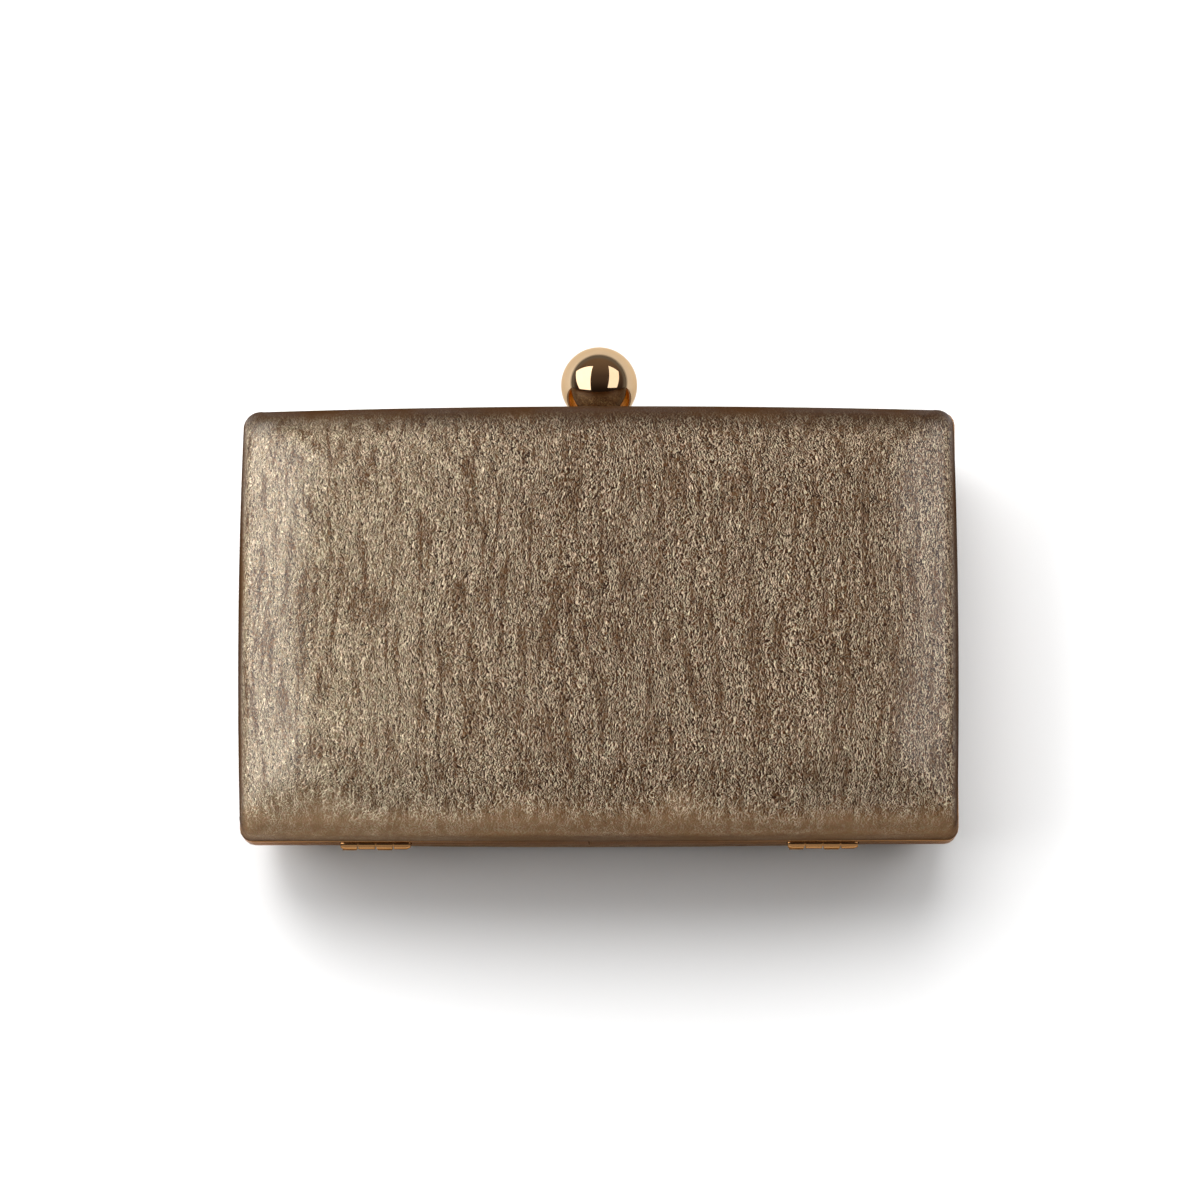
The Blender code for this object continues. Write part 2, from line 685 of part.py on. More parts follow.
def build_ball():
    """The polished ball, cut flat over the frame, and the stem that it is pressed on."""
    ball_centre = (0, BALL_Y, HALF_DEPTH)
    mesh = bpy.data.meshes.new("ball_knob")
    work = bmesh.new()
    bmesh.ops.create_uvsphere(work, u_segments=BALL_STEPS, v_segments=BALL_STEPS // 2,
                              radius=BALL_DIAMETER / 2)
    work.to_mesh(mesh)
    work.free()
    ball = add_object("ball_knob", mesh)
    ball.location = ball_centre
    below = box("below_seat", (-BALL_DIAMETER, BALL_DIAMETER),
                (BALL_Y - BALL_DIAMETER, BALL_Y - BALL_SEAT), (-BALL_DIAMETER, BALL_DIAMETER))
    bore_end = -BALL_SEAT + STEM_REACH
    bore = rod("bore", ball_centre, "Y", STEM_RADIUS + PIN_GAP, -BALL_DIAMETER, bore_end,
               BARREL_STEPS)
    finish(cut(ball, below, bore), "gilt_ball", 60.0)
    stem = rod("clasp_stem", (0, 0, HALF_DEPTH), "Y", STEM_RADIUS, LEVER_TOP + GAP,
               BALL_Y + bore_end - GAP, BARREL_STEPS)
    finish(stem, "gilt_steel")


def main():
    parts = start_scene()
    for side, half in ((BACK, "back"), (FRONT, "front")):
        build_tray(side, half)
        build_frame(side, half)
    for which, sign in (("left", -1), ("right", 1)):
        build_hinge(which, sign * HINGE_X)
    build_lever()
    build_bracket()
    build_catch()
    build_rivets(BACK, "bracket")
    build_rivets(FRONT, "catch")
    build_spring()
    build_ball()
    front_pieces = [
        obj.name for obj in parts.objects if "front" in obj.name or obj.name.startswith("catch")
    ]
    carry("front_half", (0, HINGE_Y, HALF_DEPTH), front_pieces)
    carry("clasp", (0, PIVOT_Y, half_z(FRONT, PIVOT_HEIGHT)),
          ["clasp_lever", "clasp_stem", "ball_knob"])


main()
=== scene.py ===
# %% [markdown]
# # A hard box clutch, dressed
# A box clutch is two shallow trays in metal frames, hinged like a book and shut by a ball. The
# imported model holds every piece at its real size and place. This script gives them their looks:
# crackled foil leatherette, warm gilt metal, a mirror-polished ball and a suedette lining.

# %% Load the frame
import json
import math

import bmesh
import bpy
from mathutils import Matrix, Vector, noise


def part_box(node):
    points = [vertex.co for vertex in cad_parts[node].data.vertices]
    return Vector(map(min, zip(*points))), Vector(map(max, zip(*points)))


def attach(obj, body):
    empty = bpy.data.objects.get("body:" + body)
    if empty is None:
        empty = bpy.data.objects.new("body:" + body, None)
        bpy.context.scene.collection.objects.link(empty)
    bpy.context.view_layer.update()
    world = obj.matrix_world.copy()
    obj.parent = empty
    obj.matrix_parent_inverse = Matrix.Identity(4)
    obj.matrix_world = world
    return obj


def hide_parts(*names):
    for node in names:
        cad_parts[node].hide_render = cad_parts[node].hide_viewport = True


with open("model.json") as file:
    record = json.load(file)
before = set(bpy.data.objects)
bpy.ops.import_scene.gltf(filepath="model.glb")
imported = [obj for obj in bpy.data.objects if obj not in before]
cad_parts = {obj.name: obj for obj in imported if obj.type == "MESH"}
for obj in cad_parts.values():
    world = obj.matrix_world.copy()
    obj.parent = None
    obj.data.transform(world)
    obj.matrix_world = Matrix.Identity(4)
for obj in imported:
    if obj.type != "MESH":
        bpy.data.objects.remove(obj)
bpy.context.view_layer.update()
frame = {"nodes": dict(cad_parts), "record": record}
nodes = frame["nodes"]

# %% [markdown]
# ## Sizes
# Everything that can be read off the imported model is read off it, so the two scripts can't drift
# apart. What the boxes don't show, such as sheet thicknesses, is written here once, in metres.

# %% Read the driving sizes
MM = 0.001
frame_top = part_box("front_frame")[1]
parting = (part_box("front_frame")[0].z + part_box("back_frame")[1].z) / 2
HALF_WIDTH = frame_top.x
HALF_HEIGHT = frame_top.y
HALF_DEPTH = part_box("front_cover")[1].z - parting
RIM_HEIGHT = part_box("front_cover")[0].z - parting
GAP = 0.3 * MM
FRAME_METAL = 0.6 * MM
FRAME_CORNER = 3.4 * MM
COVER = 0.8 * MM
PADDING = 1.5 * MM
SHELL = 1.8 * MM
LINING = 0.8 * MM
FRONT = 1
BACK = -1
print(f"outline {2 * HALF_WIDTH / MM:.0f} x {2 * HALF_HEIGHT / MM:.0f} mm")
print(f"each half {HALF_DEPTH / MM:.0f} mm deep, its cover from {RIM_HEIGHT / MM:.1f} mm up")

# %% [markdown]
# ## The camera
# The photograph looks down on the clutch from a good metre away, a little from the hinge side and
# from the right. A long lens that far off shows little perspective. The camera is placed by the
# point it looks at, its distance, and two angles, and then the lens sets the clutch's size.

# %% Place the camera
CAMERA_DISTANCE = 1.326
CAMERA_TILT = math.radians(8.57)
CAMERA_PAN = math.radians(-0.98)
CAMERA_LENS_PIXELS = 5246
CAMERA_TARGET = Vector((0.23 * MM, 7.2 * MM, parting))
PHOTO_PIXELS = 1200
SENSOR_MM = 36

camera_data = bpy.data.cameras.new("studio_camera")
camera_data.sensor_width = SENSOR_MM
camera_data.lens = CAMERA_LENS_PIXELS / PHOTO_PIXELS * SENSOR_MM
camera = bpy.data.objects.new("studio_camera", camera_data)
bpy.context.scene.collection.objects.link(camera)
view = Vector((math.sin(CAMERA_PAN) * math.cos(CAMERA_TILT), math.sin(CAMERA_TILT),
               -math.cos(CAMERA_PAN) * math.cos(CAMERA_TILT))).normalized()
camera_right = Vector((math.cos(CAMERA_PAN), 0, math.sin(CAMERA_PAN)))
camera_up = camera_right.cross(view)
camera.matrix_world = Matrix((camera_right, camera_up, -view)).transposed().to_4x4()
camera.location = CAMERA_TARGET - CAMERA_DISTANCE * view
bpy.context.scene.camera = camera
bpy.context.scene.view_settings.view_transform = "Standard"
print(f"lens {camera_data.lens:.0f} mm, camera at {[round(c, 3) for c in camera.location]}")

# %% [markdown]
# ## A helper for materials
# Every finish below is a small network of nodes. One function adds a node, sets its options and
# fills its inputs, either with a value or with a link from another node's output. A second one
# turns the sRGB hex colours that people read into the linear values that Blender computes with.

# %% Two material helpers
def linear(code):
    """The linear colour of an sRGB hex code such as #c8a27c."""
    channels = [int(code[i:i + 2], 16) / 255 for i in (1, 3, 5)]
    return [c / 12.92 if c <= 0.04045 else ((c + 0.055) / 1.055) ** 2.4 for c in channels] + [1.0]


def add(tree, kind, inputs=None, **options):
    """Adds a node with its options. Each input gets a value, or a link when given a socket."""
    node = tree.nodes.new(kind)
    for option, value in options.items():
        setattr(node, option, value)
    for socket, value in (inputs or {}).items():
        if isinstance(value, bpy.types.NodeSocket):
            tree.links.new(value, node.inputs[socket])
        else:
            node.inputs[socket].default_value = value
    return node


def new_material(name):
    """An empty material with its shader, and the surface place in millimetres."""
    material = bpy.data.materials.new(name)
    material.use_nodes = True
    tree = material.node_tree
    shader = tree.nodes["Principled BSDF"]
    place = add(tree, "ShaderNodeTexCoord").outputs["Object"]
    in_mm = add(tree, "ShaderNodeVectorMath", {0: place, "Scale": 1 / MM}, operation="SCALE").outputs[0]
    return material, tree, shader, in_mm


# %% [markdown]
# ## Crackled foil leatherette
# The covers are PU leatherette: a knitted cloth with a skin of polyurethane, a thin metal foil on
# it, and a clear lacquer over the foil. When the sheet is creased at the factory the foil cracks
# into cells about half a millimetre wide, drawn out along the roll. The lips of the creases are
# painted bright as glints, and the cracks beside them are painted dark: the brown skin, and
# painted shade on the flank of each crease that faces away from the light.
#
# Such a grain can be a picture or a formula. A formula that is fed with the place in millimetres
# keeps its real scale on every face and needs no unwrapping. A crease is the line along which a
# soft noise crosses its middle value: thin, winding and without an end. Finer creases, from
# another part of the noise, fill the cells between the large ones.

# %% Creases
CREASE_MM = 0.6
CREASE_WIDTH = 0.085
FINE_CREASE_MM = 0.38
FINE_CREASE_WIDTH = 0.10
FINE_CREASE_SHARE = 0.55
FINE_CREASE_PLACE = (41.0, 17.0, 5.0)


def crease_lines(tree, vector, period, width):
    """Thin winding lips, where a soft noise crosses its middle value."""
    field = add(tree, "ShaderNodeTexNoise", {"Vector": vector, "Scale": 1 / period, "Detail": 0.5,
                                             "Distortion": 0.2}).outputs["Fac"]
    offset = add(tree, "ShaderNodeMath", {0: field, 1: 0.5}, operation="SUBTRACT").outputs[0]
    away = add(tree, "ShaderNodeMath", {0: offset}, operation="ABSOLUTE").outputs[0]
    return add(tree, "ShaderNodeMapRange", {"Value": away, "From Min": 0.0, "From Max": width,
                                            "To Min": 1.0, "To Max": 0.0},
               interpolation_type="SMOOTHSTEP").outputs["Result"]


def crease_web(tree, vector):
    """Large creases, with finer ones between them."""
    apart = add(tree, "ShaderNodeVectorMath", {0: vector, 1: FINE_CREASE_PLACE},
                operation="ADD").outputs[0]
    large = crease_lines(tree, vector, CREASE_MM, CREASE_WIDTH)
    fine = crease_lines(tree, apart, FINE_CREASE_MM, FINE_CREASE_WIDTH)
    return add(tree, "ShaderNodeMath", {0: fine, 1: FINE_CREASE_SHARE, 2: large},
               operation="MULTIPLY_ADD").outputs[0]


print(f"creases about {CREASE_MM / 2} mm apart, finer ones {FINE_CREASE_MM / 2} mm")

# %% [markdown]
# The creases don't run straight. They wander by half a millimetre over a few millimetres, and the
# whole grain sways sideways over several centimetres, because the cloth under it was never quite
# square. Both are done by moving the place before the patterns are asked for their value there.

# %% Where the creases run
CREASE_WANDER_MM = 0.6
WANDER_MM = 4.0
SWAY_REACH_MM = 9.0
SWAY_MM = 45.0


def creased_place(tree, place):
    """The place on the sheet, moved as the creases wander and sway."""
    wander = add(tree, "ShaderNodeTexNoise", {"Vector": place, "Scale": 1 / WANDER_MM, "Detail": 2.0})
    centred = add(tree, "ShaderNodeVectorMath", {0: wander.outputs["Color"], 1: (0.5, 0.5, 0.5)},
                  operation="SUBTRACT").outputs[0]
    push = add(tree, "ShaderNodeVectorMath", {0: centred, "Scale": CREASE_WANDER_MM * 2.0},
               operation="SCALE").outputs[0]
    sway = add(tree, "ShaderNodeTexNoise", {"Vector": place, "Scale": 1 / SWAY_MM, "Detail": 1.0})
    aside = add(tree, "ShaderNodeVectorMath",
                {0: sway.outputs["Fac"], 1: (SWAY_REACH_MM, 0.0, 0.0), 2: push},
                operation="MULTIPLY_ADD").outputs[0]
    return add(tree, "ShaderNodeVectorMath", {0: place, 1: aside}, operation="ADD").outputs[0]


print(f"creases sway by up to {SWAY_REACH_MM} mm over {SWAY_MM} mm")

# %% [markdown]
# A crease is strong in one place and faint in another, and its crack is broken up into small pits.
# All of it fades out where the sheet is pulled smooth over an edge. The covers carry a value for
# that, called taut, at each point of their mesh. The sheet gives more in some places than in
# others, so the smooth band along an edge has an uneven border.

# %% Lips, cracks and the taut band
# Painted shade: the cracks lie this far beside the lips, as the shaded flank of each crease.
SHADED_CRACK_BESIDE_MM = 0.32
PIT_MM = 0.5
MOST_TAUT = 0.9
LEAST_GIVE = 0.5
MOST_GIVE = 2.2


def tautness(tree, tone):
    """How taut the sheet is at a place, and how loose."""
    pulled = add(tree, "ShaderNodeAttribute", attribute_name="taut").outputs["Fac"]
    give = add(tree, "ShaderNodeMapRange", {"Value": tone, "From Min": 0.35, "From Max": 0.65,
                                            "To Min": LEAST_GIVE, "To Max": MOST_GIVE}).outputs["Result"]
    taut = add(tree, "ShaderNodeMath", {0: pulled, 1: give}, operation="POWER").outputs[0]
    loose = add(tree, "ShaderNodeMath", {0: 1.0, 1: taut}, operation="SUBTRACT").outputs[0]
    return taut, loose


def lips_and_cracks(tree, drawn, grain, loose):
    """How much there is of a crease's raised lip, painted as a glint, and of the crack beside it, painted
    as its shade.
    """
    strength = add(tree, "ShaderNodeMapRange", {"Value": grain, "From Min": 0.25, "From Max": 0.75,
                                                "To Min": 0.5, "To Max": 1.3}).outputs["Result"]
    depth = add(tree, "ShaderNodeMath", {0: strength, 1: loose}, operation="MULTIPLY").outputs[0]
    lip_web = crease_web(tree, drawn)
    lip = add(tree, "ShaderNodeMath", {0: lip_web, 1: depth}, operation="MULTIPLY").outputs[0]
    # Painted shade: the crack is the crease line moved sideways, so its dark lies beside the bright lip,
    # as the shaded flank of each crease.
    beside = add(tree, "ShaderNodeVectorMath", {0: drawn, 1: (SHADED_CRACK_BESIDE_MM, 0.0, 0.0)},
                 operation="ADD").outputs[0]
    crack_web = crease_web(tree, beside)
    pits = add(tree, "ShaderNodeTexNoise", {"Vector": drawn, "Scale": 1 / PIT_MM,
                                            "Detail": 1.0}).outputs["Fac"]
    open_pits = add(tree, "ShaderNodeMapRange", {"Value": pits, "From Min": 0.40, "From Max": 0.60,
                                                 "To Min": 0.15, "To Max": 1.25}).outputs["Result"]
    broken = add(tree, "ShaderNodeMath", {0: crack_web, 1: open_pits}, operation="MULTIPLY").outputs[0]
    crack = add(tree, "ShaderNodeMath", {0: broken, 1: depth}, operation="MULTIPLY").outputs[0]
    return lip, crack


print(f"cracks {SHADED_CRACK_BESIDE_MM} mm beside the lips, pits about {PIT_MM} mm")

# %% [markdown]
# The foil is a deep bronze where it is thick and sound. Long streaks of it have worn lighter,
# towards the left end the foil is painted paler with fainter cracks, as painted sheen of the lamp
# on that side, and where the sheet is pulled taut the foil thins to a pale brown. On top come the
# lips, painted nearly white as painted glints, and the cracks, painted nearly black as the skin
# and as painted shade. A faint drift between a reddish and a greenish tint keeps the grain from
# looking printed.

# %% Foil colours
THICK_FOIL = ("#5a3515", "#653f20")
LEFT_SHEEN_FOIL = "#aa9a83"
# Painted sheen: the pale foil that the left end of the cover is painted with.
TAUT_FOIL = "#967960"
WORN_FOIL = "#6b4a2c"
# Painted highlight and shade: the lips' near white stands for glints, the cracks' near black partly for
# shade.
LIP_GLINT = "#f5e6d3"
LIP_GLINT_STRENGTH = 1.8
CRACK_SKIN_AND_SHADE = "#371c05"
TINTS = ("#fff1e6", "#f6fae6")
TINT_MM = 0.9
# Painted sheen: the foil is painted paler from 6 mm right of the middle towards the left end.
LEFT_SHEEN_FROM_MM = 6.0
LEFT_SHEEN_TO_MM = -78.0
MOST_LEFT_SHEEN = 0.68


def smooth_foil(tree, place, tone, worn, taut, loose):
    """The foil between the creases, and how much painted sheen pales it towards the left end."""
    thick = add(tree, "ShaderNodeMix",
                {"Factor": tone, "A": linear(THICK_FOIL[0]), "B": linear(THICK_FOIL[1])},
                data_type="RGBA").outputs["Result"]
    # Painted sheen: towards the left end the foil is painted paler, as the sheen of the lamp on that
    # side.
    across = add(tree, "ShaderNodeSeparateXYZ", {0: place}).outputs["X"]
    left_sheen = add(tree, "ShaderNodeMapRange", {"Value": across, "From Min": LEFT_SHEEN_FROM_MM,
                                            "From Max": LEFT_SHEEN_TO_MM, "To Max": MOST_LEFT_SHEEN},
               interpolation_type="SMOOTHSTEP").outputs["Result"]
    sheened = add(tree, "ShaderNodeMix", {"Factor": left_sheen, "A": thick, "B": linear(LEFT_SHEEN_FOIL)},
               data_type="RGBA").outputs["Result"]
    full = add(tree, "ShaderNodeMix", {"Factor": taut, "A": sheened, "B": linear(TAUT_FOIL)},
               data_type="RGBA").outputs["Result"]
    bare = add(tree, "ShaderNodeMapRange", {"Value": worn, "From Min": 0.53,
                                            "From Max": 0.38}).outputs["Result"]
    patch = add(tree, "ShaderNodeMath", {0: bare, 1: loose}, operation="MULTIPLY").outputs[0]
    foil = add(tree, "ShaderNodeMix", {"Factor": patch, "A": full, "B": linear(WORN_FOIL)},
               data_type="RGBA").outputs["Result"]
    return foil, left_sheen


def creased_foil(tree, foil, left_sheen, worn, lip, crack):
    """The foil with its lips painted bright as glints, weaker where it is worn, and its cracks painted
    dark as shade.
    """
    foil_left = add(tree, "ShaderNodeMapRange", {"Value": worn, "From Min": 0.38, "From Max": 0.62,
                                                 "To Min": 0.27, "To Max": 1.22}).outputs["Result"]
    # Painted highlight: the lips are painted near white as glints, and the cracks near black as painted
    # shade, fainter under the painted sheen on the left.
    bright = add(tree, "ShaderNodeMath", {0: lip, 1: foil_left}, operation="MULTIPLY").outputs[0]
    shine = add(tree, "ShaderNodeMath", {0: bright, 1: LIP_GLINT_STRENGTH}, operation="MULTIPLY",
                use_clamp=True).outputs[0]
    raised = add(tree, "ShaderNodeMix", {"Factor": shine, "A": foil, "B": linear(LIP_GLINT)},
                 data_type="RGBA").outputs["Result"]
    crack_darkness = add(tree, "ShaderNodeMapRange", {"Value": left_sheen, "To Min": 1.55,
                                               "To Max": 0.3}).outputs["Result"]
    dark = add(tree, "ShaderNodeMath", {0: crack, 1: crack_darkness}, operation="MULTIPLY",
               use_clamp=True).outputs[0]
    return add(tree, "ShaderNodeMix", {"Factor": dark, "A": raised, "B": linear(CRACK_SKIN_AND_SHADE)},
               data_type="RGBA").outputs["Result"]


def tinted(tree, moved, colour):
    """A colour with the faint drift of its tint."""
    hue = add(tree, "ShaderNodeTexNoise", {"Vector": moved, "Scale": 1 / TINT_MM, "Detail": 2.0,
                                           "Roughness": 0.7}).outputs["Fac"]
    drift = add(tree, "ShaderNodeMapRange", {"Value": hue, "From Min": 0.3,
                                             "From Max": 0.7}).outputs["Result"]
    tint = add(tree, "ShaderNodeMix",
               {"Factor": drift, "A": linear(TINTS[0]), "B": linear(TINTS[1])},
               data_type="RGBA").outputs["Result"]
    return add(tree, "ShaderNodeVectorMath", {0: colour, 1: tint}, operation="MULTIPLY").outputs[0]


print("foil", *THICK_FOIL, "with lips", LIP_GLINT, "and cracks", CRACK_SKIN_AND_SHADE)

# %% [markdown]
# Now the finish itself. Foil is metal, so it gives its hue to what it reflects, and the lacquer
# over it is a clear coat with a soft gloss. Where the sheet is pulled taut both grow thin, and it
# looks duller. A second value on the covers' mesh says where shade is painted: the rolled edges,
# the outer bulge of the hinge side and the sheet near the rim are painted dark brown. Lips rise
# and cracks sink by about a tenth of a millimetre. That is too fine for the mesh, so it is bump.

# %% Foil leatherette
TONE_MM = 26.0
GRAIN_MM = 0.4
CREASE_STRETCH = 0.45
STREAK_MM = 1.8
STREAK_STRETCH = 0.12
FOIL_AT_EDGE = "#8f7355"
# Painted shade: the dark brown of the rolled edges, the hinge side's outer bulge and the lowest wall.
PAINTED_SHADE_BROWN = "#3f2916"
MOST_PAINTED_SHADE = 0.95
CREASE_DEPTH = 0.14 * MM


def foil_leatherette():
    material, tree, shader, place = new_material("crackled_foil_leatherette")
    tone = add(tree, "ShaderNodeTexNoise", {"Vector": place, "Scale": 1 / TONE_MM,
                                            "Detail": 3.0}).outputs["Fac"]
    taut, loose = tautness(tree, tone)
    moved = creased_place(tree, place)
    drawn = add(tree, "ShaderNodeVectorMath", {0: moved, 1: (1.0, CREASE_STRETCH, 1.0)},
                operation="MULTIPLY").outputs[0]
    grain = add(tree, "ShaderNodeTexNoise", {"Vector": drawn, "Scale": 1 / GRAIN_MM, "Detail": 2.0,
                                             "Roughness": 0.6}).outputs["Fac"]
    streaks = add(tree, "ShaderNodeVectorMath", {0: moved, 1: (1.0, STREAK_STRETCH, 1.0)},
                  operation="MULTIPLY").outputs[0]
    worn = add(tree, "ShaderNodeTexNoise", {"Vector": streaks, "Scale": 1 / STREAK_MM, "Detail": 3.0,
                                            "Roughness": 0.6}).outputs["Fac"]
    lip, crack = lips_and_cracks(tree, drawn, grain, loose)
    height = add(tree, "ShaderNodeMath", {0: lip, 1: crack}, operation="SUBTRACT").outputs[0]
    foil, left_sheen = smooth_foil(tree, place, tone, worn, taut, loose)
    whole = tinted(tree, moved, creased_foil(tree, foil, left_sheen, worn, lip, crack))
    # Painted shade: the rolled edges, the hinge side's outer bulge and the sheet near the rim turn dark
    # brown.
    painted_shade = add(tree, "ShaderNodeAttribute", attribute_name="painted_shade").outputs["Fac"]
    painted_shade_share = add(tree, "ShaderNodeMath", {0: painted_shade, 1: MOST_PAINTED_SHADE}, operation="MULTIPLY").outputs[0]
    colour = add(tree, "ShaderNodeMix", {"Factor": painted_shade_share, "A": whole, "B": linear(PAINTED_SHADE_BROWN)},
                 data_type="RGBA").outputs["Result"]
    metal = add(tree, "ShaderNodeMapRange", {"Value": taut, "To Min": 0.85,
                                             "To Max": 0.25}).outputs["Result"]
    gloss = add(tree, "ShaderNodeMapRange", {"Value": grain, "To Min": 0.34,
                                             "To Max": 0.46}).outputs["Result"]
    lacquer = add(tree, "ShaderNodeMapRange", {"Value": taut, "From Max": MOST_TAUT, "To Min": 1.0,
                                               "To Max": 0.0}).outputs["Result"]
    bump = add(tree, "ShaderNodeBump", {"Strength": 1.0, "Distance": CREASE_DEPTH, "Height": height})
    tree.links.new(colour, shader.inputs["Base Color"])
    tree.links.new(gloss, shader.inputs["Roughness"])
    tree.links.new(bump.outputs["Normal"], shader.inputs["Normal"])
    tree.links.new(metal, shader.inputs["Metallic"])
    tree.links.new(lacquer, shader.inputs["Coat Weight"])
    shader.inputs["Specular Tint"].default_value = linear(FOIL_AT_EDGE)
    shader.inputs["Specular IOR Level"].default_value = 0.0
    shader.inputs["Coat IOR"].default_value = 1.5
    shader.inputs["Coat Roughness"].default_value = 0.33
    return material


leatherette = foil_leatherette()
print(f"creases drawn out {1 / CREASE_STRETCH:.0f} times, streaks {1 / STREAK_STRETCH:.0f} times")

# %% [markdown]
# ## Gilt steel
# The frames, hinges and clasp parts are pressed from thin steel and plated with a warm, brassy
# gold. Plating follows the metal under it, so the faint lines of the rolled strip still show and
# scatter the gloss a little. The real lines are finer than a tenth of a millimetre, and are drawn
# a quarter of one apart so that they show. A metal has no diffuse colour: its hue is the hue of
# its reflection, with a second hue at grazing angles. Soft clouds of a slightly paler gold keep it
# from looking painted.

# %% Gilt steel
ROLLING_LINE_MM = 0.25
ROLLING_STRETCH = 0.08
ROLLING_DEPTH = 0.02 * MM
CLOUDS_PER_MM = 0.12
GILT = ("#a6774a", "#b98c5e")
GILT_AT_EDGE = "#a67c4c"


def gilt_steel():
    material, tree, shader, place = new_material("gilt_steel_strip")
    along = add(tree, "ShaderNodeVectorMath", {0: place, 1: (ROLLING_STRETCH, 1.0, 1.0)},
                operation="MULTIPLY").outputs[0]
    lines = add(tree, "ShaderNodeTexNoise", {"Vector": along, "Scale": 1 / ROLLING_LINE_MM,
                                             "Detail": 2.0}).outputs["Fac"]
    cloud = add(tree, "ShaderNodeTexNoise", {"Vector": place, "Scale": CLOUDS_PER_MM,
                                             "Detail": 2.0}).outputs["Fac"]
    colour = add(tree, "ShaderNodeMix", {"Factor": cloud, "A": linear(GILT[0]), "B": linear(GILT[1])},
                 data_type="RGBA").outputs["Result"]
    gloss = add(tree, "ShaderNodeMapRange", {"Value": lines, "To Min": 0.14,
                                             "To Max": 0.26}).outputs["Result"]
    bump = add(tree, "ShaderNodeBump", {"Strength": 0.15, "Distance": ROLLING_DEPTH, "Height": lines})
    tree.links.new(colour, shader.inputs["Base Color"])
    tree.links.new(gloss, shader.inputs["Roughness"])
    tree.links.new(bump.outputs["Normal"], shader.inputs["Normal"])
    shader.inputs["Metallic"].default_value = 1.0
    shader.inputs["Specular Tint"].default_value = linear(GILT_AT_EDGE)
    return material


gilt = gilt_steel()
print(f"rolling lines {ROLLING_LINE_MM} mm apart, clouds about {1 / CLOUDS_PER_MM:.0f} mm across")

# %% [markdown]
# ## Mirror-polished ball
# The ball is brass, buffed to a mirror before it gets a flash of pale gold. Its roughness is
# nearly zero, with faint buffing haze, so it shows the whole studio as a small round picture.

# %% Polished gold
HAZE_MM = 2.0
PALE_GOLD = ("#b59a7a", "#bca384")
PALE_GOLD_AT_EDGE = "#efe0cb"


def polished_gold():
    material, tree, shader, place = new_material("buffed_pale_gold")
    haze = add(tree, "ShaderNodeTexNoise", {"Vector": place, "Scale": 1 / HAZE_MM,
                                            "Detail": 3.0}).outputs["Fac"]
    gloss = add(tree, "ShaderNodeMapRange", {"Value": haze, "To Min": 0.02,
                                             "To Max": 0.06}).outputs["Result"]
    colour = add(tree, "ShaderNodeMix",
                 {"Factor": haze, "A": linear(PALE_GOLD[0]), "B": linear(PALE_GOLD[1])},
                 data_type="RGBA").outputs["Result"]
    tree.links.new(colour, shader.inputs["Base Color"])
    tree.links.new(gloss, shader.inputs["Roughness"])
    shader.inputs["Metallic"].default_value = 1.0
    shader.inputs["Specular Tint"].default_value = linear(PALE_GOLD_AT_EDGE)
    return material


ball_gold = polished_gold()
print(f"{ball_gold.name}, with buffing haze about {HAZE_MM:.0f} mm wide")

# %% [markdown]
# ## Suedette, foam, ABS and spring wire
# These line and fill the trays. Suedette is a short brushed nap: fibres lean in patches, which
# gives soft light and dark clouds and a pale sheen at grazing angles. Its fibres are thinner than
# a picture point, so they are drawn as coarse as a fifth of a millimetre. Foam shows its open
# cells, moulded ABS a fine spark-eroded grain, and drawn wire the fine marks of the die.

# %% Four inner finishes
NAP_MM = 0.18
NAP_DEPTH = 0.1 * MM
NAP_PATCH_MM = 9.0
FOAM_CELL_MM = 0.7
FOAM_CELL_DEPTH = 0.2 * MM
ABS_GRAIN_MM = 0.3
ABS_GRAIN_DEPTH = 0.03 * MM
DRAW_LINE_MM = 0.08
SUEDETTE = ("#907a64", "#9f8872")
FOAM = ("#c9c2b2", "#e6e0d2")
ABS = ("#24211f", "#34302d")
WIRE = ("#b5b3ae", "#cfccc6")


def suedette():
    material, tree, shader, place = new_material("brushed_suedette")
    nap = add(tree, "ShaderNodeTexNoise", {"Vector": place, "Scale": 1 / NAP_MM,
                                           "Detail": 2.0}).outputs["Fac"]
    patch = add(tree, "ShaderNodeTexNoise", {"Vector": place, "Scale": 1 / NAP_PATCH_MM,
                                             "Detail": 4.0}).outputs["Fac"]
    lean = add(tree, "ShaderNodeMapRange", {"Value": patch, "From Min": 0.2,
                                            "From Max": 0.8}).outputs["Result"]
    cloth = add(tree, "ShaderNodeMix",
                {"Factor": lean, "A": linear(SUEDETTE[0]), "B": linear(SUEDETTE[1])},
                data_type="RGBA").outputs["Result"]
    fibre = add(tree, "ShaderNodeMapRange", {"Value": nap, "To Min": 0.75,
                                             "To Max": 1.2}).outputs["Result"]
    colour = add(tree, "ShaderNodeVectorMath", {0: cloth, "Scale": fibre}, operation="SCALE").outputs[0]
    bump = add(tree, "ShaderNodeBump", {"Strength": 0.5, "Distance": NAP_DEPTH, "Height": nap})
    tree.links.new(colour, shader.inputs["Base Color"])
    tree.links.new(bump.outputs["Normal"], shader.inputs["Normal"])
    shader.inputs["Roughness"].default_value = 0.9
    shader.inputs["Sheen Weight"].default_value = 0.4
    shader.inputs["Sheen Roughness"].default_value = 0.5
    return material


